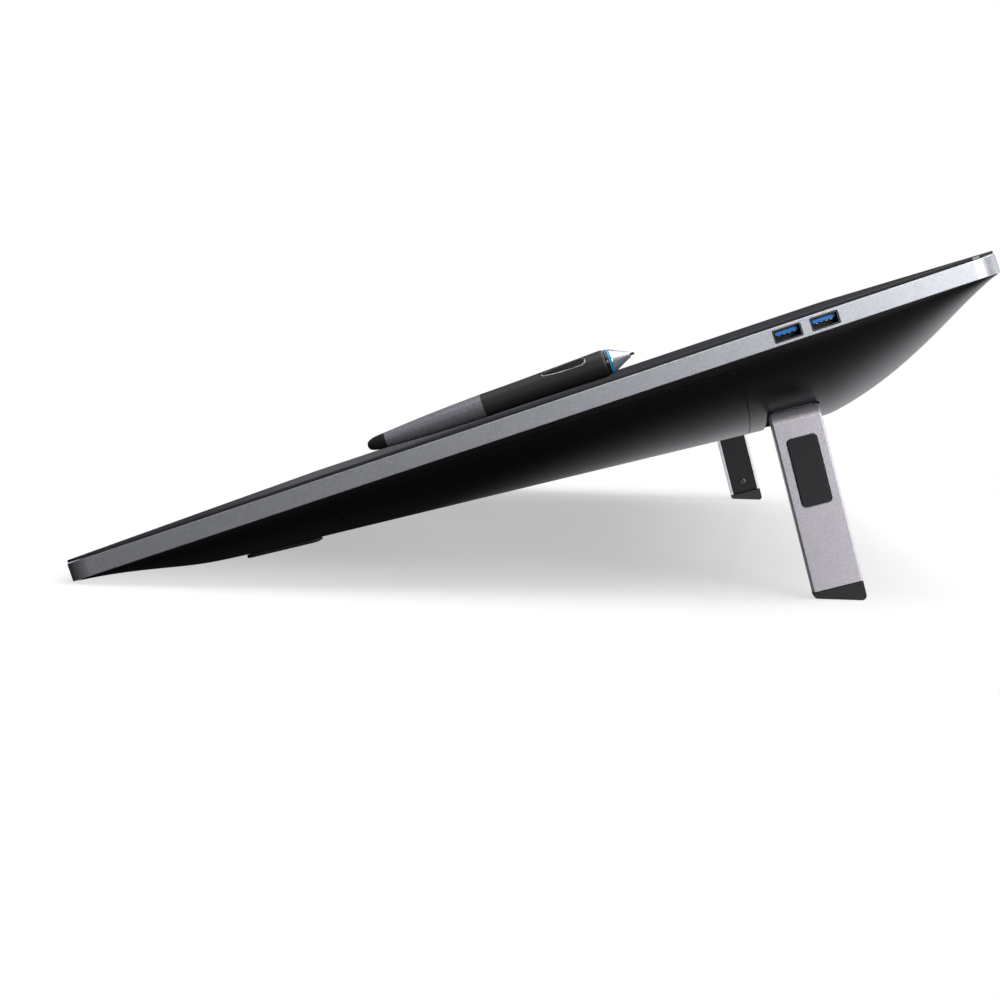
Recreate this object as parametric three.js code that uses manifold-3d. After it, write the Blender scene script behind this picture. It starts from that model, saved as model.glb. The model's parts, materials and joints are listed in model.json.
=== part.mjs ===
// Pen display: a large flat drawing screen on two fold-out legs, with its pen lying on the glass.
// Millimetres and degrees, +X to the user's right, +Y away from the user, +Z up.
// The display is built in its own frame (x across, y up the glass from the front edge, z out of
// the glass, z = 0 on the glass) and is then tilted and stood on its front edge and its two legs.
import * as THREE from 'three';
import { mergeVertices } from 'three/addons/utils/BufferGeometryUtils.js';
import Module from 'manifold-3d';

const wasm = await Module();
wasm.setup();

// ---------------------------------------------------------------- driving dimensions

const GAP = 0.3;                     // left between pieces that touch
const WIDTH = 770;                   // display, left to right
const DEPTH = 465;                   // display, front edge to rear edge along the glass
const THICKNESS = 55;                // glass to the deepest point of the back
const TILT = 20;                     // glass above the desk with the legs out

const CORNER_RADIUS = 12.6;          // plan corners of the frame
const GLASS_THICKNESS = 1.3;
const FRAME_TOP = GLASS_THICKNESS + GAP;
const FRAME_BOTTOM = 10.7;           // lower edge of the grey side frame, below the glass
const FRAME_WALL = 7;

const BACK_SLOPE = 4.85;             // flat of the back against the glass
const FRONT_SLOPE = 18.5;            // chin of the back, almost level once the display is tilted
const DEEPEST = 378;                 // distance from the front edge to the deepest line of the back
const REAR_RADIUS = 157;             // curve that closes the back towards the rear edge
const REAR_START_SLOPE = 9;
const SIDE_BLEND = 125;              // width over which each side wall rounds into the flat back
const BACK_INSET = 0.8;              // step from the frame in to the back
const CHIN_INSET = 3;
const CHIN_EDGE = 0.45;              // thickness of the back at its front edge
const WALL = 2.8;

const COVER = { front: 133.2, rear: 335.3, top: 14, drop: 0.85, corner: 5, thickness: 2.6, seat: 3 };

const LEG = {
  x: 341, y: 356.7, z: -48.3,        // middle of the hinge axis
  rake: 4,                           // the leg leans this much forward of square to the glass
  width: 24.7, thickness: 12, sheet: 2.5, rail: 2, end: 83.5,
};
const PAD = { width: 14.7, length: 34.1, z: -25, corner: 2.2, thickness: 1.6, recess: 1 };
const POCKET = { clearance: 0.8, ceiling: 6.6, inner: -95, wall: 2 };
const MAGNETS = [-18, -74.4];        // places down the leg of its two holding magnets

const PORTS = [362.15, 380.2];       // middles of the side sockets, from the front edge
const PORT = { width: 13.2, height: 5.8, depth: 16, z: -6.1, sheet: 0.4, back: 1 };
const TONGUE = { halfWidth: 5.5, bottom: 0.2, top: 2, setBack: 3 };  // heights from the socket's middle

const PEN = { x: 222, tip: 293.5, length: 157, flare: 19, waist: 88.4, switchAngle: 48 };

// ---------------------------------------------------------------- helpers

const rad = THREE.MathUtils.degToRad;
const tan = (degrees) => Math.tan(rad(degrees));
const X_AXIS = new THREE.Vector3(1, 0, 0);
const Y_AXIS = new THREE.Vector3(0, 1, 0);
const Z_AXIS = new THREE.Vector3(0, 0, 1);

const finish = (color, roughness, metalness = 0) => ({ color, roughness, metalness });
const FINISHES = {
  glass: finish(0x0c0d0f, 0.08),
  frame: finish(0x9a9da3, 0.42, 0.6),
  back: finish(0x1b1c1e, 0.45),
  leg: finish(0x96959c, 0.45, 0.5),
  rubber: finish(0x2c2d2f, 0.85),
  inner: finish(0x161618, 0.5),
  steel: finish(0xb9bcc0, 0.3, 0.9),
  board: finish(0x1f4a36, 0.6),
  blue: finish(0x1f5fc4, 0.45),
  penGrey: finish(0x6d7076, 0.4, 0.4),
  ring: finish(0x2aa3dd, 0.35),
};

function part(name, geometry, finishName) {
  const mesh = new THREE.Mesh(geometry, new THREE.MeshStandardMaterial(FINISHES[finishName]));
  mesh.name = name;
  return mesh;
}

// A closed geometry as a solid that can be cut and joined.
function solid(geometry) {
  const bare = geometry.clone();
  bare.deleteAttribute('normal');
  bare.deleteAttribute('uv');
  const merged = mergeVertices(bare, 1e-4);
  return new wasm.Manifold(new wasm.Mesh({
    numProp: 3,
    vertProperties: new Float32Array(merged.attributes.position.array),
    triVerts: new Uint32Array(merged.index.array),
  }));
}

function geometryOf(manifold) {
  const mesh = manifold.getMesh();
  const geometry = new THREE.BufferGeometry();
  geometry.setAttribute('position', new THREE.BufferAttribute(mesh.vertProperties, 3));
  geometry.setIndex(new THREE.BufferAttribute(mesh.triVerts, 1));
  geometry.computeVertexNormals();
  return geometry;
}

const cut = (body, ...tools) => tools.reduce((rest, tool) => rest.subtract(tool), body);
const join = (body, ...others) => others.reduce((whole, other) => whole.add(other), body);

function box(x0, x1, y0, y1, z0, z1) {
  const geometry = new THREE.BoxGeometry(x1 - x0, y1 - y0, z1 - z0);
  return geometry.translate((x0 + x1) / 2, (y0 + y1) / 2, (z0 + z1) / 2);
}

function roundedRectangle(x0, x1, y0, y1, r) {
  const shape = new THREE.Shape();
  shape.absarc(x1 - r, y0 + r, r, -Math.PI / 2, 0);
  shape.absarc(x1 - r, y1 - r, r, 0, Math.PI / 2);
  shape.absarc(x0 + r, y1 - r, r, Math.PI / 2, Math.PI);
  shape.absarc(x0 + r, y0 + r, r, Math.PI, 1.5 * Math.PI);
  shape.closePath();
  return shape;
}

const polygonPoints = (points) => points.map(([a, b]) => new THREE.Vector2(a, b));
const polygon = (points) => new THREE.Shape(polygonPoints(points));

// A shape drawn in the xy plane and carried from z0 to z1.
function carryZ(shape, z0, z1, curveSegments = 5) {
  const geometry = new THREE.ExtrudeGeometry(shape, { depth: z1 - z0, bevelEnabled: false, curveSegments });
  return geometry.translate(0, 0, z0);
}

// A shape drawn in the yz plane and carried from x0 to x1.
function carryX(shape, x0, x1, curveSegments = 5) {
  const turn = new THREE.Matrix4().makeBasis(Y_AXIS, Z_AXIS, X_AXIS);
  return carryZ(shape, x0, x1, curveSegments).applyMatrix4(turn);
}

// A shape drawn in the xz plane and carried from y0 to y1.
function carryY(shape, y0, y1, curveSegments = 5) {
  const turn = new THREE.Matrix4().makeBasis(X_AXIS, Z_AXIS, Y_AXIS.clone().negate());
  return carryZ(shape, -y1, -y0, curveSegments).applyMatrix4(turn);
}

function cylinderY(radius, y0, y1, sides = 16) {
  const geometry = new THREE.CylinderGeometry(radius, radius, y1 - y0, sides);
  return geometry.translate(0, (y0 + y1) / 2, 0);
}

// Closed rings of points, joined ring to ring and capped at both ends.
function loft(rings) {
  const count = rings[0].length;
  const positions = rings.flat(2);
  const index = [];
  for (let i = 0; i + 1 < rings.length; i += 1) {
    for (let j = 0; j < count; j += 1) {
      const a = i * count + j;
      const b = i * count + (j + 1) % count;
      index.push(a, a + count, b, b, a + count, b + count);
    }
  }
  const last = (rings.length - 1) * count;
  for (let j = 1; j + 1 < count; j += 1) {
    index.push(0, j, j + 1, last, last + j + 1, last + j);
  }
  const geometry = new THREE.BufferGeometry();
  geometry.setAttribute('position', new THREE.Float32BufferAttribute(positions, 3));
  geometry.setIndex(index);
  return geometry;
}

// ---------------------------------------------------------------- glass, frame and screen

const HALF = WIDTH / 2;
const GLASS_INSET = 0.5;

function frontGlass() {
  const half = HALF - GLASS_INSET;
  const outline = roundedRectangle(-half, half, GLASS_INSET, DEPTH - GLASS_INSET, CORNER_RADIUS - GLASS_INSET);
  return part('front_glass', carryZ(outline, -GLASS_THICKNESS, 0), 'glass');
}

const BUTTON = { x: 318, width: 12, height: 3.6, travel: 0.8 };
const LIGHT = { x: 300, radius: 1 };
const FRAME_MIDDLE = -(FRAME_TOP + FRAME_BOTTOM) / 2;

function sideFrame() {
  const ring = roundedRectangle(-HALF, HALF, 0, DEPTH, CORNER_RADIUS);
  const innerHalf = HALF - FRAME_WALL;
  const innerCorner = CORNER_RADIUS - FRAME_WALL;
  ring.holes.push(roundedRectangle(-innerHalf, innerHalf, FRAME_WALL, DEPTH - FRAME_WALL, innerCorner));
  let body = solid(carryZ(ring, -FRAME_BOTTOM, -FRAME_TOP));
  const halfWidth = PORT.width / 2 + GAP;
  const halfHeight = PORT.height / 2 + GAP;
  for (const y of PORTS) {
    for (const side of [-1, 1]) {
      const x = side * (HALF - FRAME_WALL / 2);
      const hole = box(x - FRAME_WALL, x + FRAME_WALL, y - halfWidth, y + halfWidth,
        PORT.z - halfHeight, PORT.z + halfHeight);
      body = cut(body, solid(hole));
    }
  }
  const slot = buttonOutline(GAP);
  const lightHole = cylinderY(LIGHT.radius + GAP, DEPTH - 2 * FRAME_WALL, DEPTH + FRAME_WALL, 12);
  lightHole.translate(LIGHT.x, 0, FRAME_MIDDLE);
  body = cut(body, solid(carryY(slot, DEPTH - 2 * FRAME_WALL, DEPTH + FRAME_WALL)), solid(lightHole));
  return part('side_frame', geometryOf(body), 'frame');
}

function buttonOutline(extra) {
  const halfWidth = BUTTON.width / 2 + extra;
  const halfHeight = BUTTON.height / 2 + extra;
  return roundedRectangle(BUTTON.x - halfWidth, BUTTON.x + halfWidth,
    FRAME_MIDDLE - halfHeight, FRAME_MIDDLE + halfHeight, halfHeight - 0.01);
}

function powerControls() {
  const button = part('power_button', carryY(buttonOutline(0), DEPTH - 6, DEPTH - 0.1), 'inner');
  const light = cylinderY(LIGHT.radius, DEPTH - 6, DEPTH - 0.2, 12).translate(LIGHT.x, 0, FRAME_MIDDLE);
  return [button, part('status_light', light, 'ring')];
}

// Layers under the glass: the screen, the sensor board behind it and the plate that stiffens them.
const SCREEN = { halfWidth: 306, front: 52, rear: 413, top: -1.8, bottom: -7.6 };
const SENSOR = { inset: 6, top: -7.9, bottom: -8.9 };
const CHASSIS = { clearance: 1, top: -9.2, bottom: -10.6, corner: 5 };
const CHASSIS_WINDOW = { places: [-250, -150, 150, 250], halfWidth: 30, front: 90, rear: 130, corner: 8 };

function screenStack() {
  const { halfWidth, front, rear } = SCREEN;
  const { inset } = SENSOR;
  const panel = box(-halfWidth, halfWidth, front, rear, SCREEN.bottom, SCREEN.top);
  const sensor = box(-halfWidth + inset, halfWidth - inset, front + inset, rear - inset,
    SENSOR.bottom, SENSOR.top);
  const edge = FRAME_WALL + CHASSIS.clearance;
  const plate = roundedRectangle(-HALF + edge, HALF - edge, edge, DEPTH - edge, CHASSIS.corner);
  const opening = CHASSIS_WINDOW;
  for (const x of opening.places) {
    const [x0, x1] = [x - opening.halfWidth, x + opening.halfWidth];
    plate.holes.push(roundedRectangle(x0, x1, opening.front, opening.rear, opening.corner));
  }
  return [
    part('lcd_panel', panel, 'steel'),
    part('sensor_board', sensor, 'board'),
    part('chassis_plate', carryZ(plate, CHASSIS.bottom, CHASSIS.top), 'steel'),
  ];
}

// One side socket: a folded metal shell, open outwards, with a blue tongue in its upper half.
function sidePort(side, y, label) {
  const mouth = HALF - GAP;
  const back = mouth - PORT.depth;
  const [halfWidth, halfHeight] = [PORT.width / 2, PORT.height / 2];
  const outer = box(back, mouth, y - halfWidth, y + halfWidth, PORT.z - halfHeight, PORT.z + halfHeight);
  const inside = box(back + PORT.back, mouth + 1, y - halfWidth + PORT.sheet, y + halfWidth - PORT.sheet,
    PORT.z - halfHeight + PORT.sheet, PORT.z + halfHeight - PORT.sheet);
  const tongue = box(back + PORT.back + GAP, mouth - TONGUE.setBack, y - TONGUE.halfWidth, y + TONGUE.halfWidth,
    PORT.z + TONGUE.bottom, PORT.z + TONGUE.top);
  const place = new THREE.Matrix4();
  if (side < 0) place.makeRotationZ(Math.PI).setPosition(0, 2 * y, 0);
  const shell = geometryOf(cut(solid(outer), solid(inside))).applyMatrix4(place);
  return [
    part(`usb_socket_${label}`, shell, 'steel'),
    part(`usb_tongue_${label}`, tongue.applyMatrix4(place), 'blue'),
  ];
}

// ---------------------------------------------------------------- the back

const RIM = FRAME_BOTTOM + GAP;      // top edge of the back, below the glass

// The rear curve is a circle that leaves the deepest line at REAR_START_SLOPE.
const REAR_CENTRE = {
  y: DEEPEST - REAR_RADIUS * Math.sin(rad(REAR_START_SLOPE)),
  z: -THICKNESS + REAR_RADIUS * Math.cos(rad(REAR_START_SLOPE)),
};

const softMinimum = (a, b, blend) => (a + b - Math.hypot(a - b, blend)) / 2;

// Depth of the back under its rim at a distance y from the front edge: chin, flat, rear curve.
function backDepth(y) {
  const chin = CHIN_EDGE + (y - CHIN_INSET) * tan(FRONT_SLOPE);
  const flat = THICKNESS - RIM - (DEEPEST - y) * tan(BACK_SLOPE);
  const run = Math.max(y - REAR_CENTRE.y, 0);
  const curve = Math.sqrt(REAR_RADIUS ** 2 - run ** 2) - REAR_CENTRE.z - RIM;
  return softMinimum(softMinimum(chin, flat, 2.5), curve, 0.6);
}

function backHalfWidth(y) {
  const r = CORNER_RADIUS - BACK_INSET;
  const fromEnd = Math.min(y - BACK_INSET, DEPTH - BACK_INSET - y);
  const past = Math.min(Math.max(r - fromEnd, 0), r);
  return HALF - BACK_INSET - (r - Math.sqrt(r * r - past * past));
}

const STATIONS = [0, 3, 8, 20, 36, 43, 50, 60, 90, 240, DEEPEST - 10, DEEPEST - 2, DEEPEST + 4,
  390, 402, 414, 425, 435, 444, 451, 456, 459.5];

// The back as a closed body, drawn in by inset on every face but its open top at z = top.
function backBody(inset, top) {
  const front = CHIN_INSET + inset;
  const rear = DEPTH - BACK_INSET - inset;
  const ends = STATIONS.map((y) => front + (y * (rear - front)) / (DEPTH - CHIN_INSET - BACK_INSET));
  ends.push(rear - 1.4, rear);
  const steps = 9;
  const rings = ends.map((y) => {
    const half = backHalfWidth(Math.min(y, rear - inset * 0.01)) - inset;
    const depth = Math.max(backDepth(y) - inset, 0.1);
    const side = [];
    for (let i = 0; i <= steps; i += 1) {
      const angle = (i / steps) * (Math.PI / 2);
      side.push([half - (SIDE_BLEND - inset) * (1 - Math.cos(angle)), -RIM - depth * Math.sin(angle)]);
    }
    const left = side.map(([x, z]) => [-x, y, z]);
    const right = side.map(([x, z]) => [x, y, z]).reverse();
    return [[-half, y, top], ...left, ...right, [half, y, top]];
  });
  return solid(loft(rings));
}

// Outline of the cable cover seen from the side, grown by extra.
function coverOutline(extra) {
  const { front, rear, top, drop, corner } = COVER;
  const [y0, y1] = [front - extra, rear + extra];
  const [z0, z1] = [-top + drop + extra, -top - drop + extra];
  const shape = new THREE.Shape();
  shape.moveTo(y0, -THICKNESS - 20);
  shape.lineTo(y1, -THICKNESS - 20);
  shape.lineTo(y1, z1 - corner);
  shape.absarc(y1 - corner, z1 - corner, corner, 0, Math.PI / 2);
  shape.lineTo(y0, z0);
  shape.closePath();
  return shape;
}

// Boxes on the back are drawn level with its flat: x across, y along, z up from the flat.
const FLAT_FRAME = new THREE.Matrix4()
  .makeRotationX(-rad(BACK_SLOPE))
  .setPosition(0, DEEPEST, -THICKNESS);
const onFlat = (...sides) => box(...sides).applyMatrix4(FLAT_FRAME);

const MOUNT = { half: 55, y: -172, recess: 6, thickness: 2, rim: 4 }; // steel plate with the arm holes
const BOLT = { spread: 50, radius: 2 };                              // half the bolt pattern, hole radius
const BAY = { half: 92, front: -108, rear: -47, depth: 22 };        // room for the plugs
const EXIT = { half: 40, length: 16 };                              // notch that lets the cables out

const legFrame = (side) => new THREE.Matrix4()
  .makeRotationX(-rad(LEG.rake))
  .setPosition(side * LEG.x, LEG.y, LEG.z);

function legBox(side, x0, x1, y0, y1, z0, z1) {
  const geometry = side > 0 ? box(x0, x1, y0, y1, z0, z1) : box(-x1, -x0, y0, y1, z0, z1);
  return geometry.applyMatrix4(legFrame(side));
}

const SOCKETS = [
  { name: 'power_socket', x: -62, width: 14, height: 10 },
  { name: 'display_socket_1', x: -24, width: 18, height: 6.5 },
  { name: 'display_socket_2', x: 12, width: 16, height: 6.5 },
  { name: 'usb_host_socket', x: 48, width: 12.6, height: 11 },
];
const SOCKET = { depth: 8, stand: 4, z: 14, sheet: 0.8 };

function socketOutline({ x, width, height }, extra) {
  const [halfWidth, halfHeight] = [width / 2 + extra, height / 2 + extra];
  return [x - halfWidth, x + halfWidth, SOCKET.z - halfHeight, SOCKET.z + halfHeight];
}

function rearHousing() {
  const outer = backBody(0, -RIM);
  const slab = (y0, y1) => solid(box(-WIDTH, WIDTH, y0, y1, -2 * THICKNESS, THICKNESS));
  const [seatFront, seatRear] = [COVER.front - WALL, COVER.rear + WALL];
  const thin = cut(backBody(WALL, 0), slab(seatFront, seatRear));
  const deep = backBody(WALL + COVER.seat, 0).intersect(slab(seatFront - 1, seatRear + 1));
  let body = cut(outer, join(thin, deep));

  const seat = MOUNT.half + GAP;
  const rim = MOUNT.half + MOUNT.rim;
  const inside = 2;
  const below = -9;
  const blocks = [
    onFlat(-rim, rim, MOUNT.y - rim, MOUNT.y + rim, inside, MOUNT.recess + WALL),
    onFlat(-BAY.half - WALL, BAY.half + WALL, BAY.front - WALL, BAY.rear + WALL, inside, BAY.depth + WALL),
  ];
  const cuts = [
    onFlat(-seat, seat, MOUNT.y - seat, MOUNT.y + seat, below, MOUNT.recess),
    onFlat(-BAY.half, BAY.half, BAY.front, BAY.rear, below, BAY.depth),
  ];
  for (const side of [-1, 1]) {
    const half = LEG.width / 2 + POCKET.clearance;
    const wall = POCKET.wall;
    blocks.push(legBox(side, POCKET.inner - wall, 20, -half - wall, half + wall, -20, POCKET.ceiling + wall));
    cuts.push(legBox(side, POCKET.inner, 60, -half, half, -40, POCKET.ceiling));
    cuts.push(edgePad(side, GAP));
  }
  for (const socket of SOCKETS) {
    const [x0, x1, z0, z1] = socketOutline(socket, GAP);
    cuts.push(onFlat(x0, x1, BAY.front - 2 * WALL, BAY.front + WALL, z0, z1));
  }
  body = join(body, ...blocks.map((block) => solid(block).intersect(outer)));
  const ledge = cut(solid(carryX(coverOutline(GAP), -WIDTH, WIDTH)), backBody(COVER.seat, 0));
  body = cut(body, ledge, ...cuts.map(solid));
  return part('rear_housing', geometryOf(body), 'back');
}

function cableCover() {
  const sheet = cut(backBody(0, -RIM), backBody(COVER.thickness, 0));
  const notch = onFlat(-EXIT.half, EXIT.half, COVER.rear - DEEPEST - EXIT.length, 0, -20, 20);
  const body = cut(sheet.intersect(solid(carryX(coverOutline(0), -WIDTH, WIDTH))), solid(notch));
  return part('cable_cover', geometryOf(body), 'back');
}

function backHardware() {
  const pieces = [];
  let plate = solid(onFlat(-MOUNT.half, MOUNT.half, MOUNT.y - MOUNT.half, MOUNT.y + MOUNT.half,
    MOUNT.recess - GAP - MOUNT.thickness, MOUNT.recess - GAP));
  for (const x of [-BOLT.spread, BOLT.spread]) {
    for (const y of [-BOLT.spread, BOLT.spread]) {
      const hole = new THREE.CylinderGeometry(BOLT.radius, BOLT.radius, 20, 12).rotateX(Math.PI / 2);
      hole.translate(x, MOUNT.y + y, 0).applyMatrix4(FLAT_FRAME);
      plate = cut(plate, solid(hole));
    }
  }
  pieces.push(part('arm_mount_plate', geometryOf(plate), 'steel'));
  for (const socket of SOCKETS) {
    const [x0, x1, z0, z1] = socketOutline(socket, 0);
    const front = BAY.front - SOCKET.depth + SOCKET.stand;
    const rear = BAY.front + SOCKET.stand;
    const { sheet } = SOCKET;
    const inside = onFlat(x0 + sheet, x1 - sheet, front + 2, rear + 2, z0 + sheet, z1 - sheet);
    const shell = cut(solid(onFlat(x0, x1, front, rear, z0, z1)), solid(inside));
    pieces.push(part(socket.name, geometryOf(shell), 'steel'));
  }
  return pieces;
}

// Boards and the heat spreader, hung under the chassis plate.
const BOARDS = [
  { name: 'main_board', sides: [-110, 110, 150, 245], bottom: -14.6, top: -13, finish: 'board' },
  { name: 'heat_spreader', sides: [-70, 40, 165, 225], bottom: -18, top: -14.9, finish: 'steel' },
  { name: 'power_board', sides: [140, 260, 160, 240], bottom: -14.6, top: -13, finish: 'board' },
];

function boards() {
  return BOARDS.map((board) => part(board.name, box(...board.sides, board.bottom, board.top), board.finish));
}

// Rubber foot under the front of the back: it carries the display when the legs are folded.
const FRONT_FOOT = { x0: 276, x1: 296, y0: 66, y1: 105, proud: 1.1 };

function frontFoot(side) {
  const { x0, x1, y0, y1, proud } = FRONT_FOOT;
  const outline = side > 0 ? roundedRectangle(x0, x1, y0, y1, 4) : roundedRectangle(-x1, -x0, y0, y1, 4);
  const block = solid(carryZ(outline, -THICKNESS, -RIM));
  const slab = solid(onFlat(-HALF, HALF, -DEPTH, 40, -proud, 40));
  const clear = backBody(-GAP, -RIM);
  const body = cut(block.intersect(slab), clear);
  return part(`front_foot_${sideName(side)}`, geometryOf(body), 'rubber');
}

const sideName = (side) => (side > 0 ? 'right' : 'left');

// Anti-slip pad let into the chin; its sole is level with the desk at the raised tilt.
const EDGE_PAD = { x0: 220, x1: 300, y0: 12.5, y1: 22.5, height: 1.5 };
const STAND_HEIGHT = FRAME_BOTTOM * Math.cos(rad(TILT));

function edgePad(side, extra) {
  const { x0, x1, y0, y1, height } = EDGE_PAD;
  const [a, b] = side > 0 ? [x0, x1] : [-x1, -x0];
  const level = box(a - extra, b + extra, y0 - extra, y1 + extra, -extra, height + extra);
  level.translate(0, 0, -STAND_HEIGHT);
  return level.rotateX(-rad(TILT));
}

// ---------------------------------------------------------------- legs

// Leg frame: x outwards, y along the hinge pin, z up the leg, origin in the middle of the pin.
const LEG_HALF = LEG.width / 2;
const LEG_BACK = LEG.thickness / 2;
const PIN_RADIUS = 1.5;
const EAR_RADIUS = 3.2;
const COVER_FACE = -LEG_BACK + 1.2;   // inner face of the dark cover that closes the channel
const COVER_DEPTH = 2.8;
const MAGNET = { radius: 2.7, depth: 1.2, proud: 0.1 };

function arcPoints(radius, from, to, steps) {
  const points = [];
  for (let i = 0; i <= steps; i += 1) {
    const angle = rad(from + ((to - from) * i) / steps);
    points.push([radius * Math.cos(angle), radius * Math.sin(angle)]);
  }
  return points;
}

function cylinderX(radius, x0, x1, z) {
  const geometry = new THREE.CylinderGeometry(radius, radius, x1 - x0, 14).rotateZ(Math.PI / 2);
  return geometry.translate((x0 + x1) / 2, 0, z);
}

// Outer sheet that wraps over the pin, between two rails with round ends.
function legChannel() {
  const rail = polygon([[-LEG_BACK, -LEG.end], [LEG_BACK, -LEG.end], ...arcPoints(LEG_BACK, 0, 180, 12)]);
  const inner = LEG_BACK - LEG.sheet;
  const sheet = polygon([[inner, -LEG.end], [LEG_BACK, -LEG.end],
    ...arcPoints(LEG_BACK, 0, 75, 6), ...arcPoints(inner, 75, 0, 6)]);
  const [recessWidth, recessLength] = [PAD.width / 2 + GAP, PAD.length / 2 + GAP];
  const recess = carryX(
    roundedRectangle(-recessWidth, recessWidth, PAD.z - recessLength, PAD.z + recessLength, PAD.corner),
    LEG_BACK - PAD.recess, LEG_BACK + 5,
  );
  const body = join(
    solid(carryY(sheet, -LEG_HALF, LEG_HALF)),
    solid(carryY(rail, -LEG_HALF, -LEG_HALF + LEG.rail)),
    solid(carryY(rail, LEG_HALF - LEG.rail, LEG_HALF)),
  );
  return cut(body, solid(pinHole()), solid(recess));
}

const pinHole = () => cylinderY(PIN_RADIUS + GAP, -LEG.width, LEG.width, 12);

const BRACKET_ARM = { reach: 11.5, under: 3.6, face: 0.3 };

// Fixed ear inside the channel: the pin passes through it, and its arm is screwed to the pocket.
function hingeBracket() {
  const top = POCKET.ceiling - GAP;
  const half = LEG_HALF - LEG.rail - 0.5;
  const { reach, under, face } = BRACKET_ARM;
  const arm = polygon([[-reach, under], [-EAR_RADIUS, under], [-EAR_RADIUS, 0],
    [face, 0], [face, top], [-reach, top]]);
  const ear = polygon(arcPoints(EAR_RADIUS, 0, 345, 15));
  return cut(join(solid(carryY(arm, -half, half)), solid(carryY(ear, -half, half))), solid(pinHole()));
}

function innerCover() {
  const half = LEG_HALF - LEG.rail - GAP;
  const cover = solid(box(COVER_FACE, COVER_FACE + COVER_DEPTH, -half, half, -LEG.end + 0.5, -13));
  const seatDepth = MAGNET.depth + GAP;
  const seats = MAGNETS.map((z) => cylinderX(MAGNET.radius + GAP, COVER_FACE - 1, COVER_FACE + seatDepth, z));
  return cut(cover, ...seats.map(solid));
}

function legPad() {
  const shape = roundedRectangle(-PAD.width / 2, PAD.width / 2,
    PAD.z - PAD.length / 2, PAD.z + PAD.length / 2, PAD.corner);
  const inner = LEG_BACK - PAD.recess + GAP;
  return carryX(shape, inner, inner + PAD.thickness);
}

// Rubber wedge whose sole is level on the desk at the raised tilt.
function legFoot() {
  const slope = rad(TILT - LEG.rake);
  const axleHeight = LEG.y * Math.sin(rad(TILT)) + LEG.z * Math.cos(rad(TILT)) + STAND_HEIGHT;
  const soleAt = (y) => -(axleHeight + y * Math.sin(slope)) / Math.cos(slope);
  const top = -LEG.end - GAP;
  const sole = [[-LEG_HALF, soleAt(-LEG_HALF)], [LEG_HALF, soleAt(LEG_HALF)]];
  const wedge = polygon([...sole, [LEG_HALF, top], [-LEG_HALF, top]]);
  return carryX(wedge, -LEG_BACK, LEG_BACK);
}

// Every piece but the foot is the same front to back, so the left leg's are turned half round.
function leg(side) {
  const label = sideName(side);
  const facing = new THREE.Group();
  facing.rotation.z = side > 0 ? 0 : Math.PI;
  facing.add(
    part(`leg_channel_${label}`, geometryOf(legChannel()), 'leg'),
    part(`leg_inner_cover_${label}`, geometryOf(innerCover()), 'inner'),
    part(`leg_pad_${label}`, legPad(), 'rubber'),
    part(`hinge_pin_${label}`, cylinderY(PIN_RADIUS, -LEG_HALF + 0.4, LEG_HALF - 0.4, 12), 'steel'),
    part(`hinge_bracket_${label}`, geometryOf(hingeBracket()), 'steel'),
  );
  MAGNETS.forEach((z, i) => {
    const magnet = cylinderX(MAGNET.radius, COVER_FACE + MAGNET.proud, COVER_FACE + MAGNET.depth, z);
    facing.add(part(`leg_magnet_${i ? 'lower' : 'upper'}_${label}`, magnet, 'steel'));
  });
  const group = new THREE.Group();
  group.applyMatrix4(legFrame(side));
  group.add(facing, part(`leg_foot_${label}`, legFoot(), 'rubber'));
  return group;
}

// ---------------------------------------------------------------- pen

// Pen frame: y runs from the tip (0) to the tail, x and z across.
const PEN_SIDES = 20;
const turned = (outline) => new THREE.LatheGeometry(polygonPoints(outline), PEN_SIDES);

const GRIP = [[7.2, 16.2], [7.6, PEN.flare], [7.4, 30], [6.95, 55], [6.65, 75], [6.65, PEN.waist]];
const BARREL = [[6.65, PEN.waist + GAP], [6.3, 102], [5.6, 122], [4.3, 144.7]];
const SWITCH = { from: 27.5, to: 51.5, width: 4.4 };
const BORE = 3;

function hollow(outline, bore) {
  const [first, last] = [outline[0], outline.at(-1)];
  return turned([...outline, [bore, last[1]], [bore, first[1]], first]);
}

// Outline of the side switch, pointed at its rear end; the y axis of the shape runs down the pen.
function switchOutline(extra) {
  const half = SWITCH.width / 2 + extra;
  const [from, to] = [SWITCH.from - extra, SWITCH.to + extra];
  const shape = new THREE.Shape();
  shape.absarc(0, from + half, half, Math.PI, 2 * Math.PI);
  shape.quadraticCurveTo(half, to - 7, 0.4, to);
  shape.lineTo(-0.4, to);
  shape.quadraticCurveTo(-half, to - 7, -half, from + half);
  return shape;
}

function onGrip(shape, inner, outer) {
  return carryZ(shape, inner, outer, 6);
}

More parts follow.
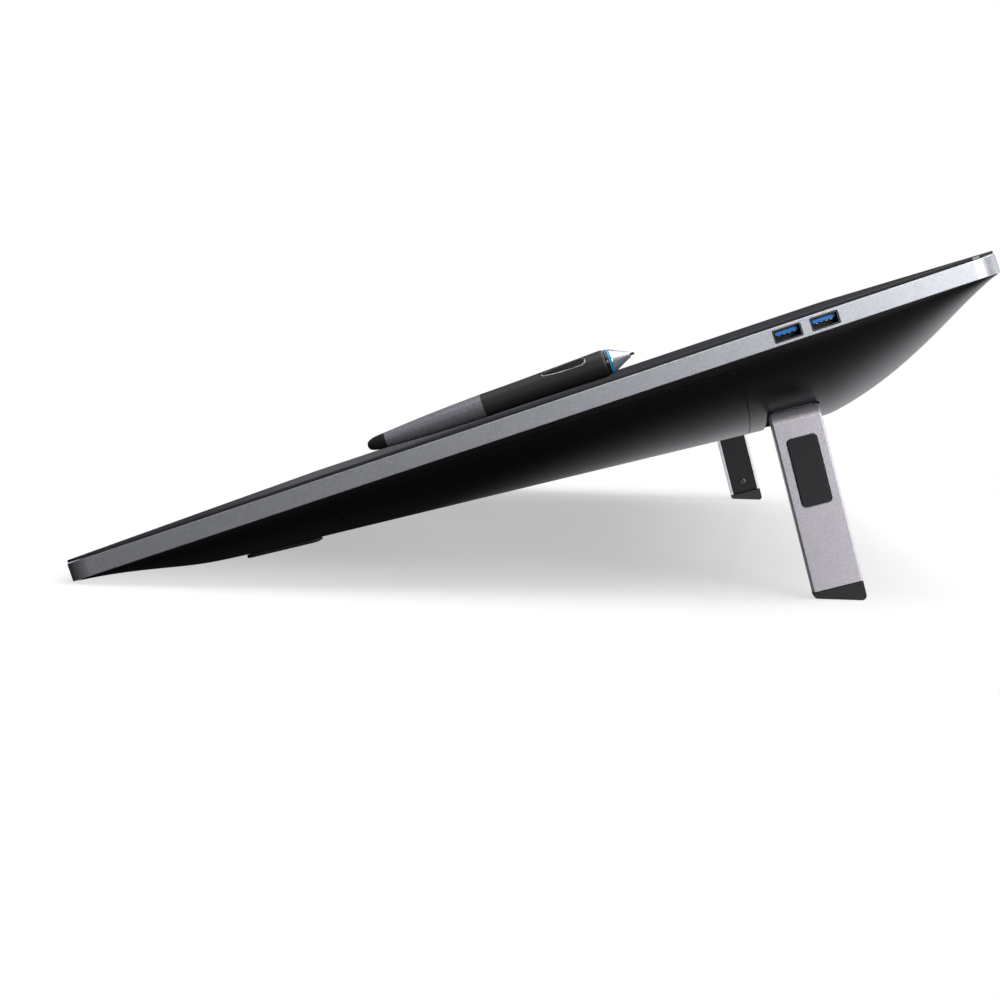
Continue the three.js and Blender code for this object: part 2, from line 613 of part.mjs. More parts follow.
function pen() {
  const group = new THREE.Group();
  const nib = [[0, 0], [0.5, 0.15], [0.75, 0.8], [0.75, 9.4], [0, 9.4]];
  const cone = [[1.45, 2.4], [3.4, 6.6], [6.3, 12.4], [6.75, 13.1], [BORE, 13.1], [BORE, 10],
    [1.05, 5], [1.05, 2.4], [1.45, 2.4]];
  const core = [[0, 10.2], [2.6, 10.9], [2.6, 143], [0, 143]];
  const eraser = [[0, 145.4], [4.2, 145.4], [4, 150], [3.3, 154], [2, 156.2], [0, PEN.length]];

  let grip = solid(hollow(GRIP, BORE));
  grip = cut(grip, solid(onGrip(switchOutline(1), 4.6, 12)));
  const bezelShape = switchOutline(1 - GAP);
  bezelShape.holes.push(switchOutline(GAP));

  // The grip turns with its switch, which faces up and to the right.
  const gripAndSwitch = new THREE.Group();
  gripAndSwitch.add(
    part('pen_grip', geometryOf(grip), 'rubber'),
    part('pen_side_switch', onGrip(switchOutline(0), 5.4, 7.6), 'inner'),
    part('pen_switch_bezel', onGrip(bezelShape, 5.3, 7.2), 'steel'),
  );
  gripAndSwitch.rotation.y = -rad(90 - PEN.switchAngle);

  group.add(
    gripAndSwitch,
    part('pen_nib', turned(nib), 'inner'),
    part('pen_cone', turned(cone), 'penGrey'),
    part('pen_colour_ring', hollow([[6.85, 13.4], [6.95, 14.5]], BORE), 'ring'),
    part('pen_collar_ring', hollow([[7, 14.8], [7.15, 15.9]], BORE), 'inner'),
    part('pen_core', turned(core), 'board'),
    part('pen_barrel', hollow(BARREL, BORE), 'penGrey'),
    part('pen_eraser', turned(eraser), 'inner'),
  );

  // The pen lies on the widest line of its grip and on the rear of the grip.
  const [flareRadius, waistRadius] = [GRIP[1][0], GRIP.at(-1)[0]];
  const lean = Math.atan((flareRadius - waistRadius) / (PEN.waist - PEN.flare));
  const lie = new THREE.Group();
  lie.add(group);
  group.rotation.z = Math.PI;
  lie.position.set(PEN.x, PEN.tip, flareRadius + PEN.flare * Math.tan(lean) + GAP);
  lie.rotation.x = lean;
  return lie;
}

// ---------------------------------------------------------------- assembly

const display = new THREE.Group();
display.add(frontGlass(), sideFrame(), ...screenStack(), ...powerControls(), ...boards());
display.add(rearHousing(), cableCover(), ...backHardware());
for (const side of [1, -1]) {
  PORTS.forEach((y, i) => display.add(...sidePort(side, y, `${sideName(side)}_${i + 1}`)));
  display.add(part(`front_edge_pad_${sideName(side)}`, edgePad(side, 0), 'rubber'));
  display.add(frontFoot(side), leg(side));
}
display.add(pen());

// Tilted about the front edge, stood on z = 0, and centred on its footprint.
const frontmost = GLASS_INSET * Math.cos(rad(TILT));
const rearmost = DEPTH * Math.cos(rad(TILT)) + FRAME_BOTTOM * Math.sin(rad(TILT));
display.rotation.x = rad(TILT);
display.position.set(0, -(frontmost + rearmost) / 2, STAND_HEIGHT);

const penDisplay = new THREE.Group();
penDisplay.add(display);

export default penDisplay;
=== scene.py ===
import json
import math

import bmesh
import bpy
import numpy as np
from mathutils import Matrix, Vector


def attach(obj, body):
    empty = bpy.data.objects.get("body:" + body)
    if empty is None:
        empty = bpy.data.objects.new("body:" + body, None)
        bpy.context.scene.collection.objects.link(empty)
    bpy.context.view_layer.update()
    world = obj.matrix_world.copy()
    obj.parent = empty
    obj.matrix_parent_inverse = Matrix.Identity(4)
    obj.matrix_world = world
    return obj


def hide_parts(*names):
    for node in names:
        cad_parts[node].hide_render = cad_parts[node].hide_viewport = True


# Looks of a pen display: a large drawing screen on two fold-out legs, with its pen on the glass.
# Pieces are worked out in millimetres in the display's own frame (x across, y up the glass from
# the front edge, z out of the glass) or in the frame of a leg or of the pen, and are then placed
# in metres in the shared frame.

bl_info = {
    "name": "Pen display",
    "version": (1, 0, 0),
    "blender": (4, 5, 0),
    "location": "3D View > Sidebar > Pen display",
    "description": "Builds a pen display, its legs and its pen around a packed frame",
    "category": "Add Mesh",
}

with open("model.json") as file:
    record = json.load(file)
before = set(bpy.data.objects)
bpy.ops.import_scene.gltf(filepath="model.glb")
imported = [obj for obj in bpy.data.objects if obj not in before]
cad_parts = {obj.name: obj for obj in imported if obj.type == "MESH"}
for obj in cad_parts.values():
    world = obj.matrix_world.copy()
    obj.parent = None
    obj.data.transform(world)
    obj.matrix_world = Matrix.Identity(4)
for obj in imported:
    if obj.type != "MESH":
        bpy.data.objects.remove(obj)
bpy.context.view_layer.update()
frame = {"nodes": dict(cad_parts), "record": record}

# ---------------------------------------------------------------- sizes, millimetres and degrees

GAP = 0.3
WIDTH, DEPTH, THICKNESS = 770, 465, 55
HALF = WIDTH / 2
CORNER = 12.6
GLASS = {"thickness": 1.3, "inset": 0.5}
BAND = {"top": -1.6, "bottom": -10.7, "wall": 7, "chamfer": 0.3}
RIM = 11
BACK_SLOPE, FRONT_SLOPE, REAR_START_SLOPE = 4.85, 18.5, 9
DEEPEST, REAR_RADIUS, SIDE_BLEND = 378, 157, 125
CHIN_BLEND, REAR_BLEND = 2.5, 0.6
BACK_INSET, CHIN_INSET, CHIN_EDGE, WALL = 0.8, 3, 0.45, 2.8
COVER = {"front": 133.2, "rear": 335.3, "top": 14, "drop": 0.85, "corner": 5, "thickness": 2.6, "seat": 3}
LEG = {"x": 341, "y": 356.7, "z": -48.3, "rake": 4, "width": 24.7, "thickness": 12, "end": 83.5,
       "sheet": 2.5, "rail": 2, "edge": 0.9}
PAD = {"width": 14.7, "length": 34.1, "z": -25, "corner": 2.2, "thickness": 1.6, "recess": 1}
POCKET = {"clearance": 0.8, "ceiling": 6.6, "inner": -95, "wall": 2}
MAGNETS = {"places": (-18, -74.4), "radius": 2.7, "proud": 0.1, "depth": 1.2}
PORTS = (362.15, 380.2)
PORT = {"width": 13.2, "height": 5.8, "depth": 16, "z": -6.1, "sheet": 0.4, "corner": 0.9}
TONGUE = {"half": 5.5, "bottom": 0.2, "top": 2, "set_back": 3}
CONTACTS = {"places": (-3.5, -1.2, 1.2, 3.5), "width": 1.1, "reach": 7}
PEN = {"x": 222, "tip": 293.5, "length": 157, "flare": 19, "waist": 88.4, "flare_radius": 7.6,
       "waist_radius": 6.65, "switch_angle": 48}
SWITCH = {"from": 27.5, "to": 51.5, "width": 4.4}
MOUNT = {"half": 55, "y": -172, "recess": 6, "rim": 4}
BAY = {"half": 92, "front": -108, "rear": -47, "depth": 22}
EXIT = {"half": 40, "length": 16}
SOCKETS = ((-62, 14, 10), (-24, 18, 6.5), (12, 16, 6.5), (48, 12.6, 11))
SOCKET_Z = 14
BUTTON = {"x": 318, "width": 12, "height": 3.6}
LIGHT = {"x": 300, "radius": 1}
FRONT_FOOT = {"x": 286, "y": 85.5, "width": 20, "length": 39, "corner": 4, "proud": 1.1}
EDGE_PAD = {"x": 260, "width": 80, "length": 10, "height": 1.5, "y": 17.5}
# The camera's place is in metres, its turns in radians and its lens in millimetres.
CAMERA = {"place": (1.2763, 0.04396, 0.1127), "yaw": 0.0603, "pitch": 0.0739, "roll": 0.0253, "lens": 68.4}


# ---------------------------------------------------------------- frames, as 4 by 4 matrices

def shift(x, y, z):
    """A move by x, y and z."""
    matrix = np.eye(4)
    matrix[:3, 3] = (x, y, z)
    return matrix


def turn(axis, degrees):
    """A right-handed turn about one of the axes."""
    return np.array(Matrix.Rotation(math.radians(degrees), 4, axis))


GLASS_MOUNT = next(m for m in frame["record"]["mounts"] if m["name"] == "drawing_surface")
TILT = math.degrees(math.atan2(-GLASS_MOUNT["axis"][1], GLASS_MOUNT["axis"][2]))
METRES = np.diag([0.001, 0.001, 0.001, 1])
MIDDLE = [value * 1000 for value in GLASS_MOUNT["pos_m"]]
DISPLAY = METRES @ shift(*MIDDLE) @ turn("X", TILT) @ shift(0, -DEPTH / 2, 0)
FLAT = shift(0, DEEPEST, -THICKNESS) @ turn("X", -BACK_SLOPE)
FRONT_EDGE = MIDDLE[1] - DEPTH / 2 * math.cos(math.radians(TILT))
LEAN = math.degrees(math.atan((PEN["flare_radius"] - PEN["waist_radius"]) / (PEN["waist"] - PEN["flare"])))
PEN_HEIGHT = PEN["flare_radius"] + PEN["flare"] * math.tan(math.radians(LEAN)) + GAP
PEN_FRAME = DISPLAY @ shift(PEN["x"], PEN["tip"], PEN_HEIGHT) @ turn("X", LEAN) @ turn("Z", 180)
GRIP_FRAME = PEN_FRAME @ turn("Y", PEN["switch_angle"] - 90)


def leg_frame(side):
    """Frame of a leg: x outwards on the right, y along its pin, z up the leg, origin in the pin."""
    return shift(side * LEG["x"], LEG["y"], LEG["z"]) @ turn("X", -LEG["rake"])


def facing(side):
    """Frame of a leg in which x points outwards on both sides."""
    return leg_frame(side) @ turn("Z", 0 if side > 0 else 180)


# ---------------------------------------------------------------- outlines and surfaces

def arc(centre, radius, start, end, steps):
    """Points at equal angles from start to end on a circle."""
    angle = np.radians(np.linspace(start, end, steps + 1))
    return np.column_stack([centre[0] + radius * np.cos(angle), centre[1] + radius * np.sin(angle)])


def rounded(width, height, corner, steps=10):
    """Outline of a rectangle about the origin, each corner a quarter circle."""
    x, y = width / 2 - corner, height / 2 - corner
    corners = ((x, -y, -90), (x, y, 0), (-x, y, 90), (-x, -y, 180))
    return np.vstack([arc((a, b), corner, start, start + 90, steps) for a, b, start in corners])


def rounded_polygon(points, radii, steps=6):
    """A polygon whose corners are arcs: each arc touches the two sides that meet there."""
    points = np.array(points, float)
    rows = []
    for here, before, after, radius in zip(points, np.roll(points, 1, 0), np.roll(points, -1, 0), radii):
        a = (before - here) / np.linalg.norm(before - here)
        b = (after - here) / np.linalg.norm(after - here)
        half = math.acos(float(np.clip(a @ b, -1, 1))) / 2
        if radius == 0:
            rows.append(here[None])
            continue
        middle = here + (a + b) / np.linalg.norm(a + b) * radius / math.sin(half)
        first = here + a * radius / math.tan(half) - middle
        last = here + b * radius / math.tan(half) - middle
        swing = math.atan2(first[0] * last[1] - first[1] * last[0], first @ last)
        t = np.linspace(0, swing, steps + 1)[:, None]
        across = np.array([-first[1], first[0]])
        rows.append(middle + first * np.cos(t) + across * np.sin(t))
    return np.vstack(rows)


def drawn_in(outline, inset):
    """An outline moved inwards: each point goes against the normal of its two neighbours' chord."""
    chord = np.roll(outline, -1, 0) - np.roll(outline, 1, 0)
    normal = np.column_stack([chord[:, 1], -chord[:, 0]])
    normal /= np.maximum(np.linalg.norm(normal, axis=1, keepdims=True), 1e-9)
    return outline - normal * inset


def quads(rows, columns, wrap_rows):
    """Quads of a grid whose columns close on themselves, and whose rows may too."""
    i, j = np.meshgrid(np.arange(rows if wrap_rows else rows - 1), np.arange(columns), indexing="ij")
    i_next, j_next = (i + 1) % rows, (j + 1) % columns
    return np.stack([i * columns + j, i * columns + j_next, i_next * columns + j_next, i_next * columns + j],
                    axis=-1).reshape(-1, 4)


class Solid:
    """A closed mesh in millimetres, to be cut, joined and placed before it becomes a piece."""

    def __init__(self, rings, wrap=False):
        rings = np.asarray(rings, float)
        count, columns = rings.shape[:2]
        faces = quads(count, columns, wrap).tolist()
        if not wrap:
            faces += [list(range(columns)), list(range((count - 1) * columns, count * columns))]
        mesh = bpy.data.meshes.new("solid")
        mesh.from_pydata(rings.reshape(-1, 3).tolist(), [], faces)
        self.object = bpy.data.objects.new("solid", mesh)
        bpy.context.scene.collection.objects.link(self.object)
        work = bmesh.new()
        work.from_mesh(mesh)
        bmesh.ops.remove_doubles(work, verts=work.verts, dist=1e-5)
        bmesh.ops.dissolve_degenerate(work, edges=work.edges, dist=1e-5)
        bmesh.ops.recalc_face_normals(work, faces=work.faces)
        work.to_mesh(mesh)
        work.free()

    def moved(self, matrix):
        """The same solid, moved by a 4 by 4 matrix."""
        self.object.data.transform(Matrix(np.asarray(matrix).tolist()))
        return self

    def combine(self, others, operation):
        """Cuts, joins or keeps in common, one solid after another."""
        for other in others:
            modifier = self.object.modifiers.new("combine", "BOOLEAN")
            modifier.operation = operation
            modifier.solver = "MANIFOLD"
            modifier.object = other.object
            bpy.context.view_layer.update()
            evaluated = self.object.evaluated_get(bpy.context.evaluated_depsgraph_get())
            mesh = bpy.data.meshes.new_from_object(evaluated)
            if not mesh.polygons:
                raise RuntimeError(f"nothing was left of a solid after {operation}")
            self.object.modifiers.clear()
            old, self.object.data = self.object.data, mesh
            bpy.data.meshes.remove(old)
            used = other.object.data
            bpy.data.objects.remove(other.object)
            bpy.data.meshes.remove(used)
        return self

    def cut(self, *others):
        return self.combine(others, "DIFFERENCE")

    def join(self, *others):
        return self.combine(others, "UNION")

    def keep(self, *others):
        return self.combine(others, "INTERSECT")


def slab(outline, low, high, edge=0.0, axis="Z", rounded_ends=(True, True), steps=4):
    """An outline carried from low to high along an axis. Near each end it is drawn in by
    edge * (1 - sin t) while the height moves by edge * (1 - cos t), which rounds the rim."""
    angle = np.linspace(0, math.pi / 2, steps + 1)
    inset, rise = edge * (1 - np.sin(angle)), edge * (1 - np.cos(angle))
    levels = [(low, 0.0)] if not (edge and rounded_ends[0]) else list(zip(low + rise, inset))
    top = [(high, 0.0)] if not (edge and rounded_ends[1]) else list(zip(high - rise, inset))[::-1]
    rings = []
    for height, amount in levels + top:
        points = drawn_in(outline, amount) if amount else outline
        rings.append(np.column_stack([points, np.full(len(points), height)]))
    rings = np.array(rings)
    order = {"Z": (0, 1, 2), "X": (2, 0, 1), "Y": (0, 2, 1)}[axis]
    return Solid(rings[:, :, order])


def block(x0, x1, y0, y1, z0, z1):
    """A plain block between six planes, used to cut with."""
    outline = np.array([(x0, y0), (x1, y0), (x1, y1), (x0, y1)], float)
    return slab(outline, z0, z1)


def lathe(profile, sides=72):
    """A closed profile of (radius, place along y) turned once about the y axis."""
    profile = np.array(profile, float)
    angle = np.linspace(0, 2 * math.pi, sides, endpoint=False)
    radius, along = profile[:, 0][:, None], profile[:, 1][:, None]
    rings = np.stack([radius * np.cos(angle), along + 0 * angle, radius * np.sin(angle)], axis=-1)
    return Solid(rings, wrap=profile[0, 0] > 0)


def smooth_profile(points, steps=8):
    """A smooth curve through points of (radius, place): Catmull-Rom between each two."""
    points = np.array(points, float)
    ends = np.vstack([2 * points[0] - points[1], points, 2 * points[-1] - points[-2]])
    t = np.linspace(0, 1, steps, endpoint=False)[:, None]
    rows = []
    for p0, p1, p2, p3 in zip(ends, ends[1:], ends[2:], ends[3:]):
        rows.append(0.5 * (2 * p1 + (p2 - p0) * t + (2 * p0 - 5 * p1 + 4 * p2 - p3) * t ** 2
                           + (3 * p1 - p0 - 3 * p2 + p3) * t ** 3))
    return np.vstack(rows + [points[-1:]])


# ---------------------------------------------------------------- shader maths

class Value:
    """A shader socket that takes part in sums: each operator adds one Math node."""

    def __init__(self, shader, socket):
        self.shader = shader
        self.socket = socket

    def _with(self, operation, first, second):
        return self.shader.node("ShaderNodeMath", {"operation": operation}, {0: first, 1: second})

    def __add__(self, other):
        return self._with("ADD", self, other)

    def __radd__(self, other):
        return self._with("ADD", other, self)

    def __sub__(self, other):
        return self._with("SUBTRACT", self, other)

    def __rsub__(self, other):
        return self._with("SUBTRACT", other, self)

    def __mul__(self, other):
        return self._with("MULTIPLY", self, other)

    def __rmul__(self, other):
        return self._with("MULTIPLY", other, self)

    def __pow__(self, other):
        return self._with("POWER", self, other)

    def __gt__(self, other):
        return self._with("GREATER_THAN", self, other)


class Shader:
    """One material's nodes."""

    def __init__(self, material):
        material.use_nodes = True
        self.tree = material.node_tree
        self.tree.nodes.clear()
        self.output = self.tree.nodes.new("ShaderNodeOutputMaterial")

    def node(self, kind, settings=None, sockets=None, out=0):
        """Adds a node: its settings first, then the values or links of its sockets."""
        node = self.tree.nodes.new(kind)
        for key, value in (settings or {}).items():
            setattr(node, key, value)
        for key, value in (sockets or {}).items():
            if isinstance(value, Value):
                self.tree.links.new(value.socket, node.inputs[key])
            else:
                node.inputs[key].default_value = value
        return Value(self, node.outputs[out])

    def place(self):
        return self.node("ShaderNodeTexCoord", out="Object")

    def noise(self, scale, detail=3.0, stretch=None):
        """Noise at a number of bumps a metre; stretch scales the axes apart, as on brushed metal."""
        where = self.place()
        if stretch:
            where = self.node("ShaderNodeMapping", {}, {"Vector": where, "Scale": stretch})
        return self.node("ShaderNodeTexNoise", {}, {"Vector": where, "Scale": scale, "Detail": detail})

    def cells(self, scale):
        """One random grey for each small cell."""
        sockets = {"Vector": self.place(), "Scale": scale}
        return self.node("ShaderNodeTexVoronoi", {"feature": "F1"}, sockets, "Color")

    def grey(self, colour):
        return self.node("ShaderNodeRGBToBW", {}, {"Color": colour})

    def blend(self, factor, first, second):
        """Colour between two colours."""
        return self.node("ShaderNodeMix", {"data_type": "RGBA"}, {0: factor, 6: first, 7: second}, 2)

    def bump(self, height, strength, distance):
        return self.node("ShaderNodeBump", {}, {"Height": height, "Strength": strength, "Distance": distance})

    def surface(self, **sockets):
        named = {key.replace("_", " "): value for key, value in sockets.items()}
        return self.node("ShaderNodeBsdfPrincipled", {}, named)

    def show(self, surface):
        self.tree.links.new(surface.socket, self.output.inputs["Surface"])


def rgba(colour, gain=1.0):
    return (*[min(channel * gain, 1.0) for channel in colour], 1.0)


def sparkle(shader, colour, roughness, metallic):
    """Fine sparkling coat on metal: pale and dark flakes under a smooth clouding."""
    flakes = shader.grey(shader.cells(2400))
    clouds = shader.noise(160)
    tone = shader.blend(flakes * 0.8 + clouds * 0.2, rgba(colour, 0.8), rgba(colour, 1.2))
    grain = shader.bump(flakes, 0.07, 0.0001)
    shader.show(shader.surface(Base_Color=tone, Metallic=metallic, Normal=grain,
                               Roughness=roughness - 0.06 + flakes * 0.12))


def moulded(shader, colour, roughness, grain=0.15, scale=1800, gloss=0.5):
    """Moulded plastic: a fine grain, and gloss that drifts a little over the surface."""
    fine = shader.noise(scale, 2.0)
    drift = shader.noise(14, 2.0)
    tone = shader.blend(drift, rgba(colour, 0.88), rgba(colour, 1.12))
    shader.show(shader.surface(Base_Color=tone, Normal=shader.bump(fine, grain, 0.0001),
                               Roughness=roughness - 0.04 + drift * 0.08, Specular_IOR_Level=gloss))


def rubber(shader, colour, roughness):
    """Matt rubber: coarse grain and paler worn spots."""
    fine = shader.noise(1400, 4.0)
    worn = shader.noise(90, 4.0)
    tone = shader.blend(worn, rgba(colour, 0.8), rgba(colour, 1.3))
    shader.show(shader.surface(Base_Color=tone, Normal=shader.bump(fine, 0.35, 0.0003),
                               Roughness=roughness - 0.08 + worn * 0.16))


def brushed(shader, colour, roughness):
    """Metal drawn one way: noise stretched along x, in tone, gloss and height."""
    lines = shader.noise(400, 4.0, stretch=(0.05, 1.0, 1.0))
    tone = shader.blend(lines, rgba(colour, 0.8), rgba(colour, 1.15))
    shader.show(shader.surface(Base_Color=tone, Metallic=1.0, Normal=shader.bump(lines, 0.08, 0.0001),
                               Roughness=roughness - 0.06 + lines * 0.12))


def circuit(shader, colour, roughness):
    """Lacquered board: small copper pads showing through the lacquer."""
    pads = shader.grey(shader.cells(420)) > 0.86
    tone = shader.blend(pads, rgba(colour), (0.62, 0.44, 0.2, 1.0))
    shader.show(shader.surface(Base_Color=tone, Metallic=pads * 0.9, Roughness=roughness - 0.1 * pads))


def dark_glass(shader, colour, roughness):
    """Coated glass over a dark screen: a dark body whose tone drifts a little, under a faint
    reflection that grows only slightly where the surface turns away."""
    fine = shader.noise(900, 2.0)
    tone = shader.blend(fine, rgba(colour, 0.8), rgba(colour, 1.2))
    body = shader.surface(Base_Color=tone, Roughness=0.35, Specular_IOR_Level=0.0)
    mirror = shader.surface(Base_Color=(0.92, 0.95, 0.93, 1.0), Metallic=1.0,
                            Roughness=roughness - 0.02 + fine * 0.04)
    edge = shader.node("ShaderNodeLayerWeight", {}, {"Blend": 0.5}, "Facing")
    amount = 0.045 + edge ** 4.0 * 0.035
    mixed = shader.node("ShaderNodeMixShader", {}, {0: amount, 1: body, 2: mirror})
    shader.show(mixed)


# slot: maker, roughness, further values of the maker
FINISHES = {
    "screen_glass": (dark_glass, 0.07, {}),
    "frame_metal": (sparkle, 0.4, {"metallic": 0.75}),
    "leg_metal": (sparkle, 0.42, {"metallic": 0.7}),
    "back_shell": (moulded, 0.31, {"grain": 0.1, "gloss": 0.2}),
    "leg_inlay": (moulded, 0.42, {"gloss": 0.2}),
    "dark_rubber": (rubber, 0.75, {}),
    "plain_steel": (brushed, 0.34, {}),
    "chassis_metal": (brushed, 0.45, {}),
    "screen_stack": (moulded, 0.3, {"grain": 0.02}),
    "circuit_board": (circuit, 0.45, {}),
    "tongue_blue": (moulded, 0.3, {"grain": 0.05}),
    "button_black": (moulded, 0.28, {"grain": 0.06}),
    "light_pipe": (moulded, 0.25, {"grain": 0.03}),
    "pen_rubber": (moulded, 0.46, {"grain": 0.2}),
    "pen_grey": (sparkle, 0.25, {"metallic": 0.7}),
    "pen_gloss": (moulded, 0.12, {"grain": 0.03}),
    "pen_ring": (moulded, 0.3, {"grain": 0.04}),
    "pen_chrome": (brushed, 0.26, {}),
}
COLOUR_PROPS = {"frame_metal": "frame_colour", "leg_metal": "leg_colour", "back_shell": "back_colour",
                "dark_rubber": "rubber_colour", "pen_ring": "ring_colour", "plain_steel": "steel_colour",
                "tongue_blue": "tongue_colour", "leg_inlay": "inlay_colour",
                "pen_grey": "pen_colour"}


def finish(slot):
    """The material of one of the record's slots, made once."""
    name = f"finish_{slot}"
    made = bpy.data.materials.get(name)
    if made:
        return made
    maker, roughness, further = FINISHES[slot]
    looks = bpy.context.scene.pen_display
    stored = next(m for m in frame["record"]["materials"] if m["slot"] == slot)
    colour = getattr(looks, COLOUR_PROPS[slot]) if slot in COLOUR_PROPS else stored["base_color"][:3]
    material = bpy.data.materials.new(name)
    maker(Shader(material), tuple(colour), roughness=roughness, **further)
    return material


SHARP_ANGLE, BEVEL_ANGLE = math.radians(32), math.radians(45)


def piece(name, solid, matrix, slot, body, nodes=(), soften=0.0):
    """Places a solid, gives it its finish and its body, and hides the CAD nodes it stands for."""
    solid.moved(matrix)
    made = solid.object
    made.name = name
    made.data.name = name
    made.data.materials.clear()
    made.data.materials.append(finish(slot))
    made.data.shade_smooth()
    made.data.set_sharp_from_angle(angle=SHARP_ANGLE)
    if soften:
        too_short = soften * 0.0003
        work = bmesh.new()
        work.from_mesh(made.data)
        bmesh.ops.remove_doubles(work, verts=work.verts, dist=too_short)
        bmesh.ops.dissolve_degenerate(work, edges=work.edges, dist=too_short)
        work.to_mesh(made.data)
        work.free()
        bevel = made.modifiers.new("soften", "BEVEL")
        bevel.width = soften * 0.001
        bevel.segments = 2
        bevel.limit_method = "ANGLE"
        bevel.angle_limit = BEVEL_ANGLE
    flat = made.modifiers.new("flat", "WEIGHTED_NORMAL")
    flat.mode = "FACE_AREA"
    flat.weight = 100
    flat.keep_sharp = True
    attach(made, body)
    if nodes:
        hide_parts(*nodes)
    return made


SIDES = ((1, "right"), (-1, "left"))


# ---------------------------------------------------------------- the back

def back_depth(y):
    """Depth of the back under its rim: the least of chin, flat and rear circle, softly joined."""
    def softly(a, b, blend):
        return (a + b - np.hypot(a - b, blend)) / 2

    start = math.radians(REAR_START_SLOPE)
    centre_y = DEEPEST - REAR_RADIUS * math.sin(start)
    centre_z = -THICKNESS + REAR_RADIUS * math.cos(start)
    chin = CHIN_EDGE + (y - CHIN_INSET) * math.tan(math.radians(FRONT_SLOPE))
    flat = THICKNESS - RIM - (DEEPEST - y) * math.tan(math.radians(BACK_SLOPE))
    curve = np.sqrt(REAR_RADIUS ** 2 - np.maximum(y - centre_y, 0) ** 2) - centre_z - RIM
    return softly(softly(chin, flat, CHIN_BLEND), curve, REAR_BLEND)


def back_half_width(y):
    """Half the width at the rim, less the round of the plan's corners."""
    r = CORNER - BACK_INSET
    past = np.clip(r - np.minimum(y - BACK_INSET, DEPTH - BACK_INSET - y), 0, r)
    return HALF - BACK_INSET - (r - np.sqrt(r * r - past * past))


def back_solid(inset, top):
    """The back as a closed solid: at each place along y the section is a flat between two
    quarter ellipses, x = half - blend * (1 - cos a), z = -rim - depth * sin a."""
    front, rear = CHIN_INSET + inset, DEPTH - BACK_INSET - inset
    reach = 14
    ends = reach * (1 - np.cos(np.linspace(0, math.pi / 2, 12)))
    between = np.linspace(front + reach, rear - reach, 110)[1:-1]
    y = np.concatenate([front + ends, between, rear - ends[::-1]])
    y[-1] = rear
    half = back_half_width(np.minimum(y, rear - inset * 0.01)) - inset
    depth = np.maximum(back_depth(y) - inset, 0.1)
    angle = np.linspace(0, math.pi / 2, 40)
    x = half[:, None] - (SIDE_BLEND - inset) * (1 - np.cos(angle))
    z = -RIM - depth[:, None] * np.sin(angle)
    place = np.repeat(y[:, None], len(angle), 1)
    left, right = np.stack([-x, place, z], -1), np.stack([x, place, z], -1)[:, ::-1]
    rim_left = np.stack([-half, y, np.full_like(y, top)], -1)[:, None]
    rim_right = np.stack([half, y, np.full_like(y, top)], -1)[:, None]
    return Solid(np.concatenate([rim_left, left, right, rim_right], axis=1))


def cover_outline(extra):
    """The cable cover from the side: straight, but for an arc at its upper rear corner."""
    y0, y1 = COVER["front"] - extra, COVER["rear"] + extra
    z0 = -COVER["top"] + COVER["drop"] + extra
    z1 = -COVER["top"] - COVER["drop"] + extra
    corner, low = COVER["corner"], -THICKNESS - 20
    curve = arc((y1 - corner, z1 - corner), corner, 0, 90, 12)
    return np.vstack([[(y0, low), (y1, low)], curve, [(y0, z0)]])


def rear_housing():
    """The back, hollow, with a ledge under the cable cover, leg pockets, plug bay and arm seat."""
    slice_of = lambda y0, y1: block(-WIDTH, WIDTH, y0, y1, -2 * THICKNESS, THICKNESS)
    seat_front, seat_rear = COVER["front"] - WALL, COVER["rear"] + WALL
    thin = back_solid(WALL, 0).cut(slice_of(seat_front, seat_rear))
    deep = back_solid(WALL + COVER["seat"], 0).keep(slice_of(seat_front - 1, seat_rear + 1))
    body = back_solid(0, -RIM).cut(thin, deep)
    on_flat = lambda *sides: block(*sides).moved(FLAT)
    rim, seat, y = MOUNT["half"] + MOUNT["rim"], MOUNT["half"] + GAP, MOUNT["y"]
    inside, below = 2, -9
    blocks = [
        on_flat(-rim, rim, y - rim, y + rim, inside, MOUNT["recess"] + WALL),
        on_flat(-BAY["half"] - WALL, BAY["half"] + WALL, BAY["front"] - WALL, BAY["rear"] + WALL,
                inside, BAY["depth"] + WALL),
    ]
    cuts = [
        on_flat(-seat, seat, y - seat, y + seat, below, MOUNT["recess"]),
        on_flat(-BAY["half"], BAY["half"], BAY["front"], BAY["rear"], below, BAY["depth"]),
    ]
    half, wall = LEG["width"] / 2 + POCKET["clearance"], POCKET["wall"]
    inner, ceiling = POCKET["inner"], POCKET["ceiling"]
    for side, _ in SIDES:
        around = block(inner - wall, 20, -half - wall, half + wall, -20, ceiling + wall)
        blocks.append(around.moved(facing(side)))
        cuts.append(block(inner, 60, -half, half, -40, ceiling).moved(facing(side)))
        cuts.append(edge_pad(side, GAP))
    for x, width, height in SOCKETS:
        wide, high = width / 2 + GAP, height / 2 + GAP
        cuts.append(on_flat(x - wide, x + wide, BAY["front"] - 2 * WALL, BAY["front"] + WALL,
                            SOCKET_Z - high, SOCKET_Z + high))
    for extra in blocks:
        body.join(extra.keep(back_solid(0, -RIM)))
    ledge = slab(cover_outline(GAP), -WIDTH, WIDTH, axis="X").cut(back_solid(COVER["seat"], 0))
    return body.cut(ledge, *cuts)


def cable_cover():
    """The curved cover of the plug bay: the back's own skin, with a notch for the cables."""
    notch = block(-EXIT["half"], EXIT["half"], COVER["rear"] - DEEPEST - EXIT["length"], 0, -20, 20)
    skin = back_solid(0, -RIM).cut(back_solid(COVER["thickness"], 0))
    return skin.keep(slab(cover_outline(0), -WIDTH, WIDTH, axis="X")).cut(notch.moved(FLAT))


